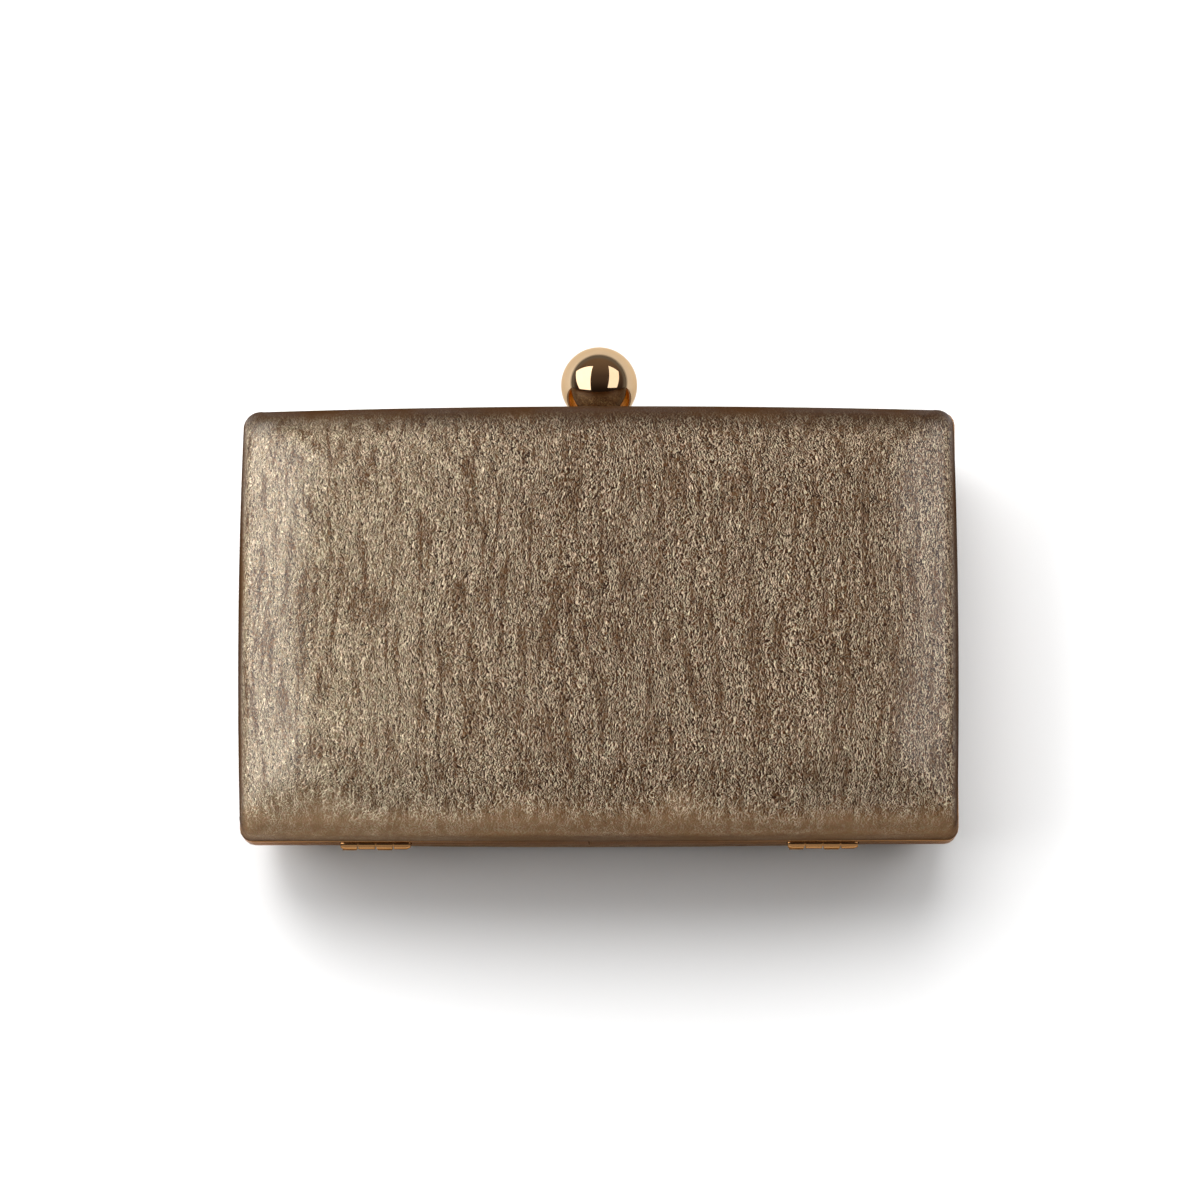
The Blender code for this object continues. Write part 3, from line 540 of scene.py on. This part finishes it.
def foam():
    material, tree, shader, place = new_material("polyurethane_foam")
    cell = add(tree, "ShaderNodeTexVoronoi",
               {"Vector": place, "Scale": 1 / FOAM_CELL_MM}).outputs["Distance"]
    colour = add(tree, "ShaderNodeMix", {"Factor": cell, "A": linear(FOAM[0]), "B": linear(FOAM[1])},
                 data_type="RGBA").outputs["Result"]
    bump = add(tree, "ShaderNodeBump", {"Strength": 0.6, "Distance": FOAM_CELL_DEPTH, "Height": cell})
    tree.links.new(colour, shader.inputs["Base Color"])
    tree.links.new(bump.outputs["Normal"], shader.inputs["Normal"])
    shader.inputs["Roughness"].default_value = 0.95
    return material


def moulded_abs():
    material, tree, shader, place = new_material("moulded_abs")
    spark = add(tree, "ShaderNodeTexNoise", {"Vector": place, "Scale": 1 / ABS_GRAIN_MM}).outputs["Fac"]
    colour = add(tree, "ShaderNodeMix", {"Factor": spark, "A": linear(ABS[0]), "B": linear(ABS[1])},
                 data_type="RGBA").outputs["Result"]
    gloss = add(tree, "ShaderNodeMapRange", {"Value": spark, "To Min": 0.45,
                                             "To Max": 0.65}).outputs["Result"]
    bump = add(tree, "ShaderNodeBump", {"Strength": 0.3, "Distance": ABS_GRAIN_DEPTH, "Height": spark})
    tree.links.new(colour, shader.inputs["Base Color"])
    tree.links.new(gloss, shader.inputs["Roughness"])
    tree.links.new(bump.outputs["Normal"], shader.inputs["Normal"])
    return material


def spring_wire():
    material, tree, shader, place = new_material("drawn_spring_wire")
    lines = add(tree, "ShaderNodeTexNoise", {"Vector": place, "Scale": 1 / DRAW_LINE_MM}).outputs["Fac"]
    colour = add(tree, "ShaderNodeMix", {"Factor": lines, "A": linear(WIRE[0]), "B": linear(WIRE[1])},
                 data_type="RGBA").outputs["Result"]
    gloss = add(tree, "ShaderNodeMapRange", {"Value": lines, "To Min": 0.22,
                                             "To Max": 0.38}).outputs["Result"]
    tree.links.new(colour, shader.inputs["Base Color"])
    tree.links.new(gloss, shader.inputs["Roughness"])
    shader.inputs["Metallic"].default_value = 1.0
    return material


FINISHES = {
    "metallic_leatherette": leatherette,
    "foam": foam(),
    "moulded_abs": moulded_abs(),
    "suedette_lining": suedette(),
    "gilt_steel": gilt,
    "gilt_ball": ball_gold,
    "spring_steel": spring_wire(),
}
print("finishes:", ", ".join(FINISHES))

# %% [markdown]
# ## The trays' shape
# Each tray is a rounded box whose wall leans in slightly, rolls over at the edge and rises in a
# low crown to a flat face. Along the way the corners drop and the sides belly out, as padded
# sheet does. The shape is a stack of rings: each ring is a rounded rectangle at some inset from
# the frame's outline and at some height above the parting plane.

# %% Stations from rim to face
WALL_LEAN = 0.6 * MM
EDGE_RADIUS = 6.5 * MM
CROWN_RISE = 3 * MM
CROWN_RUN = 16 * MM
CORNER_DROP = 4 * MM
SIDE_BULGE = 0.6 * MM
WALL_CORNER = 4.2 * MM
FACE_CORNER = 12 * MM
CORNER_LEAST = 1 * MM
RIGHT_ANGLE = math.radians(90)
WALL_SHARES = (0, 0.04, 0.09, 0.16, 0.3, 0.6)
WALL_STEPS = len(WALL_SHARES)
BELLY_HEIGHT = 2.6 * MM
ROLL_STEPS = 10
CROWN_STEPS = 12
FACE_STEPS = 14


def tray_stations():
    """Inset, height, corner radius, tilt, share of drop and bulge, share of padding, and belly."""
    slope = math.atan(2 * CROWN_RISE / CROWN_RUN)
    roll = RIGHT_ANGLE - slope
    rim_inset = FRAME_METAL + GAP
    wall_inset = rim_inset + WALL_LEAN
    wall_height = HALF_DEPTH - CROWN_RISE - EDGE_RADIUS * math.sin(roll)
    roll_end = wall_inset + EDGE_RADIUS * (1 - math.cos(roll))
    run = roll_end + CROWN_RUN - wall_inset
    stations = []
    for share in WALL_SHARES:
        inset = rim_inset + WALL_LEAN * share
        corner = FRAME_CORNER - rim_inset + (WALL_CORNER - FRAME_CORNER + rim_inset) * share
        rise = (wall_height - RIM_HEIGHT) * share
        belly = math.sin(RIGHT_ANGLE * min(rise / BELLY_HEIGHT, 1))
        stations.append((inset, RIM_HEIGHT + rise, corner, 0, share, share, belly))
    for step in range(ROLL_STEPS + 1):
        tilt = roll * step / ROLL_STEPS
        inset = wall_inset + EDGE_RADIUS * (1 - math.cos(tilt))
        corner = WALL_CORNER + (FACE_CORNER - WALL_CORNER) * (inset - wall_inset) / run
        stations.append((inset, wall_height + EDGE_RADIUS * math.sin(tilt), corner, tilt, 1, 1, 1))
    for step in range(1, CROWN_STEPS + 1):
        left = 1 - step / CROWN_STEPS
        inset = roll_end + CROWN_RUN * (1 - left)
        corner = WALL_CORNER + (FACE_CORNER - WALL_CORNER) * (inset - wall_inset) / run
        tilt = RIGHT_ANGLE - math.atan(math.tan(slope) * left)
        stations.append((inset, HALF_DEPTH - CROWN_RISE * left**2, corner, tilt, left**2, 1, left))
    return stations


STATIONS = tray_stations()
LINING_SEAM = WALL_STEPS + round(ROLL_STEPS / 3)
FACE_START = len(STATIONS) - 1
print(f"{len(STATIONS)} rings, the face starts {STATIONS[-1][0] / MM:.1f} mm in from the frame")

# %% [markdown]
# A ring's points run round the rounded rectangle, each with the direction that faces outwards
# there. Padded sheet is never quite flat, so points on the crown and the face dip by a tenth of
# a millimetre or two, in soft waves a few centimetres long. The same waves move every sheet that
# lies on the padding, so the layers still nest.
#
# The leatherette also swells past the frame, by up to a millimetre in front and a hair at the
# back, on which the clutch lies. It swells most at the corners and in the middle of the hinge
# side, and least on the clasp side.

# %% Rings and sheets
CORNER_STEPS = 12
SOFT_WAVE = 24 * MM
SOFT_DEPTH = 0.16 * MM
OVERHANG = {FRONT: 0.75 * MM, BACK: 0.2 * MM}
CLASP_SIDE_HOLD = 0.6
HINGE_OVERHANG = 0.35
CORNER_OVERHANG = 0.5
MERGE_WITHIN = MM / 1000
SHARP_SHEET_ANGLE = math.radians(50)


def outline(inset, corner, spacing):
    """Points round a rounded rectangle, with the direction outwards, and its half sizes."""
    half_x = HALF_WIDTH - inset
    half_y = HALF_HEIGHT - inset
    corner = max(corner, CORNER_LEAST)
    long_steps = round(2 * HALF_WIDTH / spacing)
    short_steps = round(2 * HALF_HEIGHT / spacing)
    points = []
    for quarter, (sign_x, sign_y) in enumerate(((1, 1), (-1, 1), (-1, -1), (1, -1))):
        centre = Vector((sign_x * (half_x - corner), sign_y * (half_y - corner)))
        for step in range(CORNER_STEPS + 1):
            angle = RIGHT_ANGLE * (quarter + step / CORNER_STEPS)
            outward = Vector((math.cos(angle), math.sin(angle)))
            points.append((centre + corner * outward, outward))
        end, outward = points[-1]
        steps = long_steps if quarter in (0, 2) else short_steps
        along = Vector((-outward.y, outward.x))
        length = 2 * ((half_x if quarter in (0, 2) else half_y) - corner)
        points += [(end + along * length * step / steps, outward) for step in range(1, steps)]
    return points, half_x, half_y


def softness(x, y, side):
    """How far the padded sheet dips at a place."""
    wave = noise.noise(Vector((x / SOFT_WAVE, y / SOFT_WAVE, side))) / 2 + 0.5
    return -SOFT_DEPTH * wave


def tray_ring(station, side, depth, sunk, spacing, soft, overhang):
    """One ring of a surface that lies at a depth under the tray's outer surface."""
    inset, height, corner, tilt, share, sink, belly = station
    inset = inset + depth * math.cos(tilt)
    corner = corner - depth * math.cos(tilt)
    height = height - depth * math.sin(tilt) - sink * sunk
    padded = soft * min(max(math.sin(tilt) * 2 - 1, 0), 1)
    points, half_x, half_y = outline(inset, corner, spacing)
    ring = []
    for point, outward in points:
        across = point.x / half_x
        along = point.y / half_y
        dip = padded * softness(point.x, point.y, side)
        reach = 1 - CLASP_SIDE_HOLD * max(outward.y, 0)
        reach += CORNER_OVERHANG * 2 * abs(outward.x * outward.y)
        reach += HINGE_OVERHANG * max(-outward.y, 0) * (1 - across**2)
        swell = dip * math.cos(tilt) + belly * overhang * reach
        x = point.x + share * SIDE_BULGE * across * (1 - along**2) + outward.x * swell
        y = point.y + share * SIDE_BULGE * along * (1 - across**2) + outward.y * swell
        z = height - share * CORNER_DROP * across**2 * along**2 + dip * math.sin(tilt)
        ring.append(Vector((x, y, parting + side * z)))
    return ring


def face_rings(edge, side, height, soft):
    """Rings that close the flat of the face, down to a line along its middle."""
    reach = HALF_WIDTH - HALF_HEIGHT
    rings = []
    for step in range(1, FACE_STEPS + 1):
        share = step / FACE_STEPS
        ring = []
        for point in edge:
            spine = Vector((max(-reach, min(reach, point.x)), 0, 0))
            place = point.lerp(spine, share)
            place.z = parting + side * (height + soft * softness(place.x, place.y, side))
            ring.append(place)
        rings.append(ring)
    return rings


def surface(side, first, last, depth, sunk, spacing, soft, overhang=0):
    """The rings of one surface, from the rim side to the face side."""
    rings = [tray_ring(station, side, depth, sunk, spacing, soft, overhang)
             for station in STATIONS[first:last + 1]]
    if last == FACE_START:
        rings += face_rings(rings[-1], side, HALF_DEPTH - depth - sunk, soft)
    return rings


def new_piece(name, mesh, finish, body, *replaced):
    """Shows a mesh as a piece of the clutch that rides on a body and stands for CAD nodes."""
    piece = bpy.data.objects.new(name, mesh)
    bpy.context.scene.collection.objects.link(piece)
    mesh.materials.append(FINISHES[finish])
    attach(piece, body)
    if replaced:
        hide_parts(*replaced)
    return piece


def sheet_mesh(name, outer, inner):
    """A closed sheet between two surfaces given as rings. A surface with a face closes itself."""
    rings = outer[::-1] + inner
    work = bmesh.new()
    rows = [[work.verts.new(point) for point in ring] for ring in rings]
    closed = len(outer) > FACE_STEPS
    for near, far in zip(rows, rows[1:] if closed else rows[1:] + rows[:1]):
        for i in range(len(near)):
            after = (i + 1) % len(near)
            work.faces.new((near[i], near[after], far[after], far[i]))
    bmesh.ops.remove_doubles(work, verts=work.verts, dist=MERGE_WITHIN)
    bmesh.ops.recalc_face_normals(work, faces=work.faces)
    mesh = bpy.data.meshes.new(name)
    work.to_mesh(mesh)
    work.free()
    mesh.shade_smooth()
    mesh.set_sharp_from_angle(angle=SHARP_SHEET_ANGLE)
    return mesh


print(f"one ring has {len(outline(0, FRAME_CORNER, 4 * MM)[0])} points at 4 mm spacing")

# %% [markdown]
# ## Sheets of both trays
# From the outside in: leatherette cover, foam padding under the face, ABS shell, and the lining in
# two pieces, a strip round the wall and a panel on the floor.
#
# The cover's mesh carries the two values that its finish reads. Taut is near 1 where the sheet is
# pulled smooth over an edge: the band is wide on the hinge side, whose wall is smooth too, and
# narrow on the others, whose walls have their grain again under the roll. The other value is
# painted shade: it is 1 on the rolled edges and at the outer bulge of the hinge side, which are
# painted dark brown, and near the rim, where the sheet dives into the frame, fading out 9 mm above it.
#
# The size that each sheet was cut to is printed. It is measured along its own surface, through
# the middle of its width and of its length, and round the middle of a strip.

# %% Build the sheets
COVER_SPACING = 2.5 * MM
SPACING = 5 * MM
TAUT_HINGE = (2.0 * MM, 13.0 * MM)
TAUT_TOP = (1.2 * MM, 6.0 * MM)
TAUT_SIDE = (0.8 * MM, 2.6 * MM)
# Painted shade: bands from the edges and from the rim over which the cover is painted dark brown.
TOP_SHADE_BAND = (2.0 * MM, 10.0 * MM)
SIDE_SHADE_BAND = (0.6 * MM, 3.0 * MM)
HINGE_SHADE_BAND = (-1.2 * MM, 0.6 * MM)
RIM_SHADE_BAND = (-1.0 * MM, 9.0 * MM)
UNDER_ROLL = (8.0 * MM, 14.0 * MM)
WALL_HOLD = 0.3


def fade(distance, limits):
    """1 up to the first limit, 0 from the second, and smooth between them."""
    share = min(max((distance - limits[0]) / (limits[1] - limits[0]), 0), 1)
    return 1 - share * share * (3 - 2 * share)


def mark_taut_and_shade(mesh):
    """Writes how taut a cover is at each of its points, and how much shade is painted there."""
    taut = mesh.attributes.new("taut", "FLOAT", "POINT")
    painted_shade = mesh.attributes.new("painted_shade", "FLOAT", "POINT")
    for vertex in mesh.vertices:
        x, y, z = vertex.co
        above_rim = abs(z - parting) - RIM_HEIGHT
        roll = 1 - (1 - WALL_HOLD) * fade(abs(z - parting), UNDER_ROLL)
        side = roll * fade(HALF_WIDTH - abs(x), TAUT_SIDE)
        top = roll * fade(HALF_HEIGHT - y, TAUT_TOP)
        hinge = fade(HALF_HEIGHT + y, TAUT_HINGE)
        taut.data[vertex.index].value = MOST_TAUT * max(side, top, hinge)
        # Painted shade along the rolled edges, at the hinge side's outer bulge and up the lowest wall
        # above the rim.
        side_shade = roll * fade(HALF_WIDTH - abs(x), SIDE_SHADE_BAND)
        top_shade = roll * fade(HALF_HEIGHT - y, TOP_SHADE_BAND)
        hinge_shade = fade(HALF_HEIGHT + y, HINGE_SHADE_BAND)
        rim_shade = fade(above_rim, RIM_SHADE_BAND)
        painted_shade.data[vertex.index].value = max(side_shade, top_shade, hinge_shade, rim_shade)


def path_length(rings, pick):
    """The length of the line through one point of each ring."""
    line = [min(ring, key=pick) for ring in rings]
    return sum((after - point).length for point, after in zip(line, line[1:]))


def cut_of_panel(rings):
    """Width and length of a panel with a face, rolled out flat."""
    to_right = path_length(rings, lambda point: abs(point.y) / MM - point.x)
    to_top = path_length(rings, lambda point: abs(point.x) / MM - point.y)
    to_bottom = path_length(rings, lambda point: abs(point.x) / MM + point.y)
    return 2 * (to_right + HALF_WIDTH - HALF_HEIGHT), to_top + to_bottom


def cut_of_strip(rings):
    """Width and length of a strip that runs round the wall, rolled out flat."""
    middle = rings[len(rings) // 2]
    round_wall = sum((after - point).length for point, after in zip(middle, middle[1:] + middle[:1]))
    return path_length(rings, lambda point: abs(point.y) / MM - point.x), round_wall


UNDER_COVER = COVER + GAP
UNDER_SHELL = UNDER_COVER + SHELL
ON_LINING = UNDER_SHELL + GAP
SHELL_SUNK = PADDING + GAP

for side, half in ((BACK, "back"), (FRONT, "front")):
    body = f"{half}_half"
    outside = surface(side, 0, FACE_START, 0, 0, COVER_SPACING, 1, OVERHANG[side])
    cover = sheet_mesh(f"{half}_cover_leatherette", outside,
                       surface(side, 0, FACE_START, COVER, 0, COVER_SPACING, 1, OVERHANG[side]))
    mark_taut_and_shade(cover)
    leather = new_piece(cover.name, cover, "metallic_leatherette", body, f"{half}_cover")
    pad = sheet_mesh(f"{half}_padding_foam",
                     surface(side, LINING_SEAM, FACE_START, UNDER_COVER, 0, SPACING, 1),
                     surface(side, LINING_SEAM, FACE_START, UNDER_COVER, PADDING, SPACING, 0))
    new_piece(pad.name, pad, "foam", body, f"{half}_padding")
    shell = sheet_mesh(f"{half}_shell_abs",
                       surface(side, 0, FACE_START, UNDER_COVER, SHELL_SUNK, SPACING, 0),
                       surface(side, 0, FACE_START, UNDER_SHELL, SHELL_SUNK, SPACING, 0))
    new_piece(shell.name, shell, "moulded_abs", body, f"{half}_shell")
    cut_of_panel(outside)
    strip = surface(side, 0, LINING_SEAM - 1, ON_LINING, SHELL_SUNK, SPACING, 0)
    wall = sheet_mesh(f"{half}_wall_suedette", strip,
                      surface(side, 0, LINING_SEAM - 1, ON_LINING + LINING, SHELL_SUNK, SPACING, 0))
    new_piece(wall.name, wall, "suedette_lining", body, f"{half}_wall_lining")
    cut_of_strip(strip)
    panel = surface(side, LINING_SEAM, FACE_START, ON_LINING, SHELL_SUNK, SPACING, 0)
    floor = sheet_mesh(f"{half}_floor_suedette", panel,
                       surface(side, LINING_SEAM, FACE_START, ON_LINING + LINING, SHELL_SUNK, SPACING, 0))
    new_piece(floor.name, floor, "suedette_lining", body, f"{half}_floor_lining")
    cut_of_panel(panel)
    cuts = {"cover": cut_of_panel(outside), "strip": cut_of_strip(strip), "floor": cut_of_panel(panel)}
    for name, cut in cuts.items():
        print(f"{half} {name} cut {cut[0] / MM:.0f} x {cut[1] / MM:.0f} mm")
    print(f"{half}: cover {len(cover.polygons)} faces, lining {len(wall.polygons) + len(floor.polygons)}")

# %% [markdown]
# ## The ball
# A turned shape is a profile spun about its axis. The profile is half a circle, cut flat where the
# ball sits over the frame, with a small round at that edge and the bore for the stem.

# %% Turn the ball
BALL_STEPS = 96
SEAT_ROUND = 0.35 * MM
BORE_RADIUS = 1.45 * MM
STEM_REACH = 6 * MM
SHARP_TURNED_ANGLE = math.radians(40)

ball_low, ball_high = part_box("ball_knob")
ball_radius = (ball_high.x - ball_low.x) / 2
ball_centre = Vector((0, ball_high.y - ball_radius, parting))
seat = ball_low.y - ball_centre.y
seat_angle = math.acos((seat + SEAT_ROUND) / ball_radius)
arc_angles = [seat_angle * step / BALL_STEPS * 2 for step in range(BALL_STEPS // 2 + 1)]
arc = [(ball_radius * math.cos(angle), ball_radius * math.sin(angle)) for angle in arc_angles]
flat_edge = math.sqrt(ball_radius**2 - seat**2) - SEAT_ROUND
bore_end = seat + STEM_REACH
profile = arc + [(seat, flat_edge), (seat, BORE_RADIUS), (bore_end, BORE_RADIUS), (bore_end, 0)]


def turned_mesh(name, profile, centre, steps):
    """Spins (along, radius) points about the Y axis through the centre."""
    work = bmesh.new()
    rows = []
    for along, radius in profile:
        ring = []
        for step in range(steps):
            angle = math.tau * step / steps
            point = Vector((radius * math.cos(angle), along, radius * math.sin(angle)))
            ring.append(work.verts.new(centre + point))
        rows.append(ring)
    for near, far in zip(rows, rows[1:]):
        for i in range(steps):
            after = (i + 1) % steps
            work.faces.new((near[i], near[after], far[after], far[i]))
    bmesh.ops.remove_doubles(work, verts=work.verts, dist=MERGE_WITHIN)
    bmesh.ops.recalc_face_normals(work, faces=work.faces)
    mesh = bpy.data.meshes.new(name)
    work.to_mesh(mesh)
    work.free()
    mesh.shade_smooth()
    mesh.set_sharp_from_angle(angle=SHARP_TURNED_ANGLE)
    return mesh


ball = turned_mesh("ball_polished", profile, ball_centre, BALL_STEPS)
new_piece(ball.name, ball, "gilt_ball", "clasp", "ball_knob")
print(f"ball {2 * ball_radius / MM:.1f} mm across, seat {-seat / MM:.1f} mm below its centre")

# %% [markdown]
# ## Small metal parts
# The frames, hinges, clasp and rivets keep their CAD shape. Real pressed metal has no razor edge,
# so each part gets a hair of bevel, which catches a bright line of light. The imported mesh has
# separate triangles, so they are welded and merged into flats before the bevel.

# %% Dress the metal parts
EDGE_BREAK = 0.08 * MM
EDGE_FROM_ANGLE = math.radians(30)
WELD_WITHIN = MM / 200
FLAT_WITHIN = math.radians(0.5)
shown_nodes = {entry["node"]: entry["material_slot"] for entry in frame["record"]["subparts"]}


def dress(node, slot):
    """Gives a CAD part its finish, and breaks its edges."""
    part = nodes[node]
    part.data.materials.clear()
    part.data.materials.append(FINISHES[slot])
    part.data.shade_smooth()
    weld = part.modifiers.new("weld", "WELD")
    weld.merge_threshold = WELD_WITHIN
    flats = part.modifiers.new("flats", "DECIMATE")
    flats.decimate_type = "DISSOLVE"
    flats.angle_limit = FLAT_WITHIN
    edges = part.modifiers.new("edges", "BEVEL")
    edges.width = EDGE_BREAK
    edges.segments = 2
    edges.angle_limit = EDGE_FROM_ANGLE
    part.modifiers.new("shading", "WEIGHTED_NORMAL")


dressed = [node for node, slot in shown_nodes.items() if slot in ("gilt_steel", "spring_steel")]
for node in dressed:
    dress(node, shown_nodes[node])
print("dressed", len(dressed), "metal parts")

# %% [markdown]
# ## Studio
# The clutch lies on white paper, which is painted grey further off: painted shade for a studio
# floor that falls out of the light. One broad, high lamp from beyond the clasp's left gives most of
# the light and the soft shadow towards the lower right. It is hidden from reflections, where so
# broad a lamp would show as a haze. Two softboxes stand left and right. They light the clutch
# too, and the ball shows them as two windows. Each is given by the direction in which it stands
# from the ball, the direction that it faces, and the direction of its longer side.

# %% Paper and lamps
PAPER_SIZE = 8.0
PAPER_WHITE_TO = 0.24
PAPER_FULL_SHADE_FROM = 0.45
PAPER_WHITE = "#fbfbfb"
PAPER_PAINTED_SHADE = "#b2b1b0"
SHADOW_LAMP_FROM = Vector((-0.1, 0.65, 0.75))
SHADOW_LAMP_ANGLE = math.radians(50)
SHADOW_LAMP_STRENGTH = 2.8
SOFTBOX_DISTANCE = 0.95
SOFTBOXES = (
    ("softbox_left", 10.4, (-0.80, 0.10, 0.60), (0.21, -0.48, -0.85), (0.23, 0.87, -0.44), (0.91, 1.14)),
    ("softbox_right", 7.2, (0.755, 0.23, 0.61), (-0.08, -0.25, -0.96), (0.0, 0.97, -0.25), (0.68, 0.98)),
)


def white_paper():
    material = bpy.data.materials.new("white_paper")
    material.use_nodes = True
    tree = material.node_tree
    tree.nodes.clear()
    place = add(tree, "ShaderNodeTexCoord").outputs["Object"]
    away = add(tree, "ShaderNodeVectorMath", {0: place}, operation="LENGTH").outputs["Value"]
    # Painted shade: from about a quarter metre out the paper's colour turns grey.
    beyond = add(tree, "ShaderNodeMapRange", {"Value": away, "From Min": PAPER_WHITE_TO,
                                              "From Max": PAPER_FULL_SHADE_FROM},
                 interpolation_type="SMOOTHSTEP").outputs["Result"]
    shade = add(tree, "ShaderNodeMix",
                {"Factor": beyond, "A": linear(PAPER_WHITE), "B": linear(PAPER_PAINTED_SHADE)},
                data_type="RGBA").outputs["Result"]
    paper = add(tree, "ShaderNodeBsdfDiffuse", {"Color": shade}).outputs[0]
    add(tree, "ShaderNodeOutputMaterial", {"Surface": paper})
    return material


bpy.ops.mesh.primitive_plane_add(size=PAPER_SIZE, location=(0, 0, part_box("back_cover")[0].z))
paper = bpy.context.object
paper.name = "paper_ground"
paper.data.materials.append(white_paper())


def aim(lamp, place, target):
    lamp.location = place
    lamp.rotation_euler = (target - place).to_track_quat("-Z", "Y").to_euler()


def new_lamp(name, kind):
    lamp = bpy.data.objects.new(name, bpy.data.lights.new(name, kind))
    bpy.context.scene.collection.objects.link(lamp)
    return lamp


shadow_lamp = new_lamp("high_lamp", "SUN")
shadow_lamp.data.energy = SHADOW_LAMP_STRENGTH
shadow_lamp.data.angle = SHADOW_LAMP_ANGLE
shadow_lamp.visible_glossy = False
aim(shadow_lamp, SHADOW_LAMP_FROM, Vector((0, 0, 0)))

for name, light, towards, facing, upright, size in SOFTBOXES:
    box_lamp = new_lamp(name, "AREA")
    box_lamp.data.shape = "RECTANGLE"
    box_lamp.data.size, box_lamp.data.size_y = size
    box_lamp.data.energy = light * size[0] * size[1]
    back = -Vector(facing).normalized()
    across = Vector(upright).cross(back).normalized()
    box_lamp.matrix_world = Matrix((across, back.cross(across), back)).transposed().to_4x4()
    box_lamp.location = ball_centre + SOFTBOX_DISTANCE * Vector(towards).normalized()
    print(f"{name} of {size[0]} x {size[1]} m, {SOFTBOX_DISTANCE} m from the ball")

# %% [markdown]
# The world gives the surfaces no light and only shows in reflections. It is a dark studio: a brown
# ceiling that grows paler beyond the clasp, a pale band along the horizon, where the paper sweeps
# up, and a pale wall on the hinge side. The polished ball shows the band as its pale rim and the
# ceiling as its brown middle, and the hinge knuckles show the wall.

# %% World
HORIZON_TO_DEGREES = 5
CEILING_FROM_DEGREES = 16
CEILING_NEAR = "#2a211d"
CEILING_AHEAD = "#64554d"
CEILING_BEYOND = "#94816f"
HORIZON = "#8a8886"
HINGE_SIDE_WALL = "#d3d3d3"
AHEAD_FROM, AHEAD_FULL = -0.5, 0.3
BEYOND_FROM, BEYOND_FULL = 0.3, 1.0
WALL_FROM, WALL_FULL = -0.55, -0.75

world = bpy.data.worlds.new("studio")
bpy.context.scene.world = world
world.use_nodes = True
sky = world.node_tree
direction = add(sky, "ShaderNodeTexCoord").outputs["Generated"]
heading = add(sky, "ShaderNodeSeparateXYZ", {0: direction}).outputs
overhead = add(sky, "ShaderNodeMapRange",
               {"Value": heading["Z"], "From Min": math.sin(math.radians(HORIZON_TO_DEGREES)),
                "From Max": math.sin(math.radians(CEILING_FROM_DEGREES))},
               interpolation_type="SMOOTHSTEP").outputs["Result"]
ahead = add(sky, "ShaderNodeMapRange", {"Value": heading["Y"], "From Min": AHEAD_FROM,
                                        "From Max": AHEAD_FULL},
            interpolation_type="SMOOTHSTEP").outputs["Result"]
beyond = add(sky, "ShaderNodeMapRange", {"Value": heading["Y"], "From Min": BEYOND_FROM,
                                         "From Max": BEYOND_FULL}).outputs["Result"]
behind = add(sky, "ShaderNodeMapRange", {"Value": heading["Y"], "From Min": WALL_FROM,
                                         "From Max": WALL_FULL},
             interpolation_type="SMOOTHSTEP").outputs["Result"]
nearer = add(sky, "ShaderNodeMix",
             {"Factor": ahead, "A": linear(CEILING_NEAR), "B": linear(CEILING_AHEAD)},
             data_type="RGBA").outputs["Result"]
ceiling = add(sky, "ShaderNodeMix", {"Factor": beyond, "A": nearer, "B": linear(CEILING_BEYOND)},
              data_type="RGBA").outputs["Result"]
room = add(sky, "ShaderNodeMix", {"Factor": behind, "A": ceiling, "B": linear(HINGE_SIDE_WALL)},
           data_type="RGBA").outputs["Result"]
studio = add(sky, "ShaderNodeMix", {"Factor": overhead, "A": linear(HORIZON), "B": room},
             data_type="RGBA").outputs["Result"]
sky.links.new(studio, sky.nodes["Background"].inputs["Color"])
world.cycles_visibility.diffuse = False
print(f"horizon band up to {HORIZON_TO_DEGREES} degrees, ceiling from {CEILING_FROM_DEGREES}")
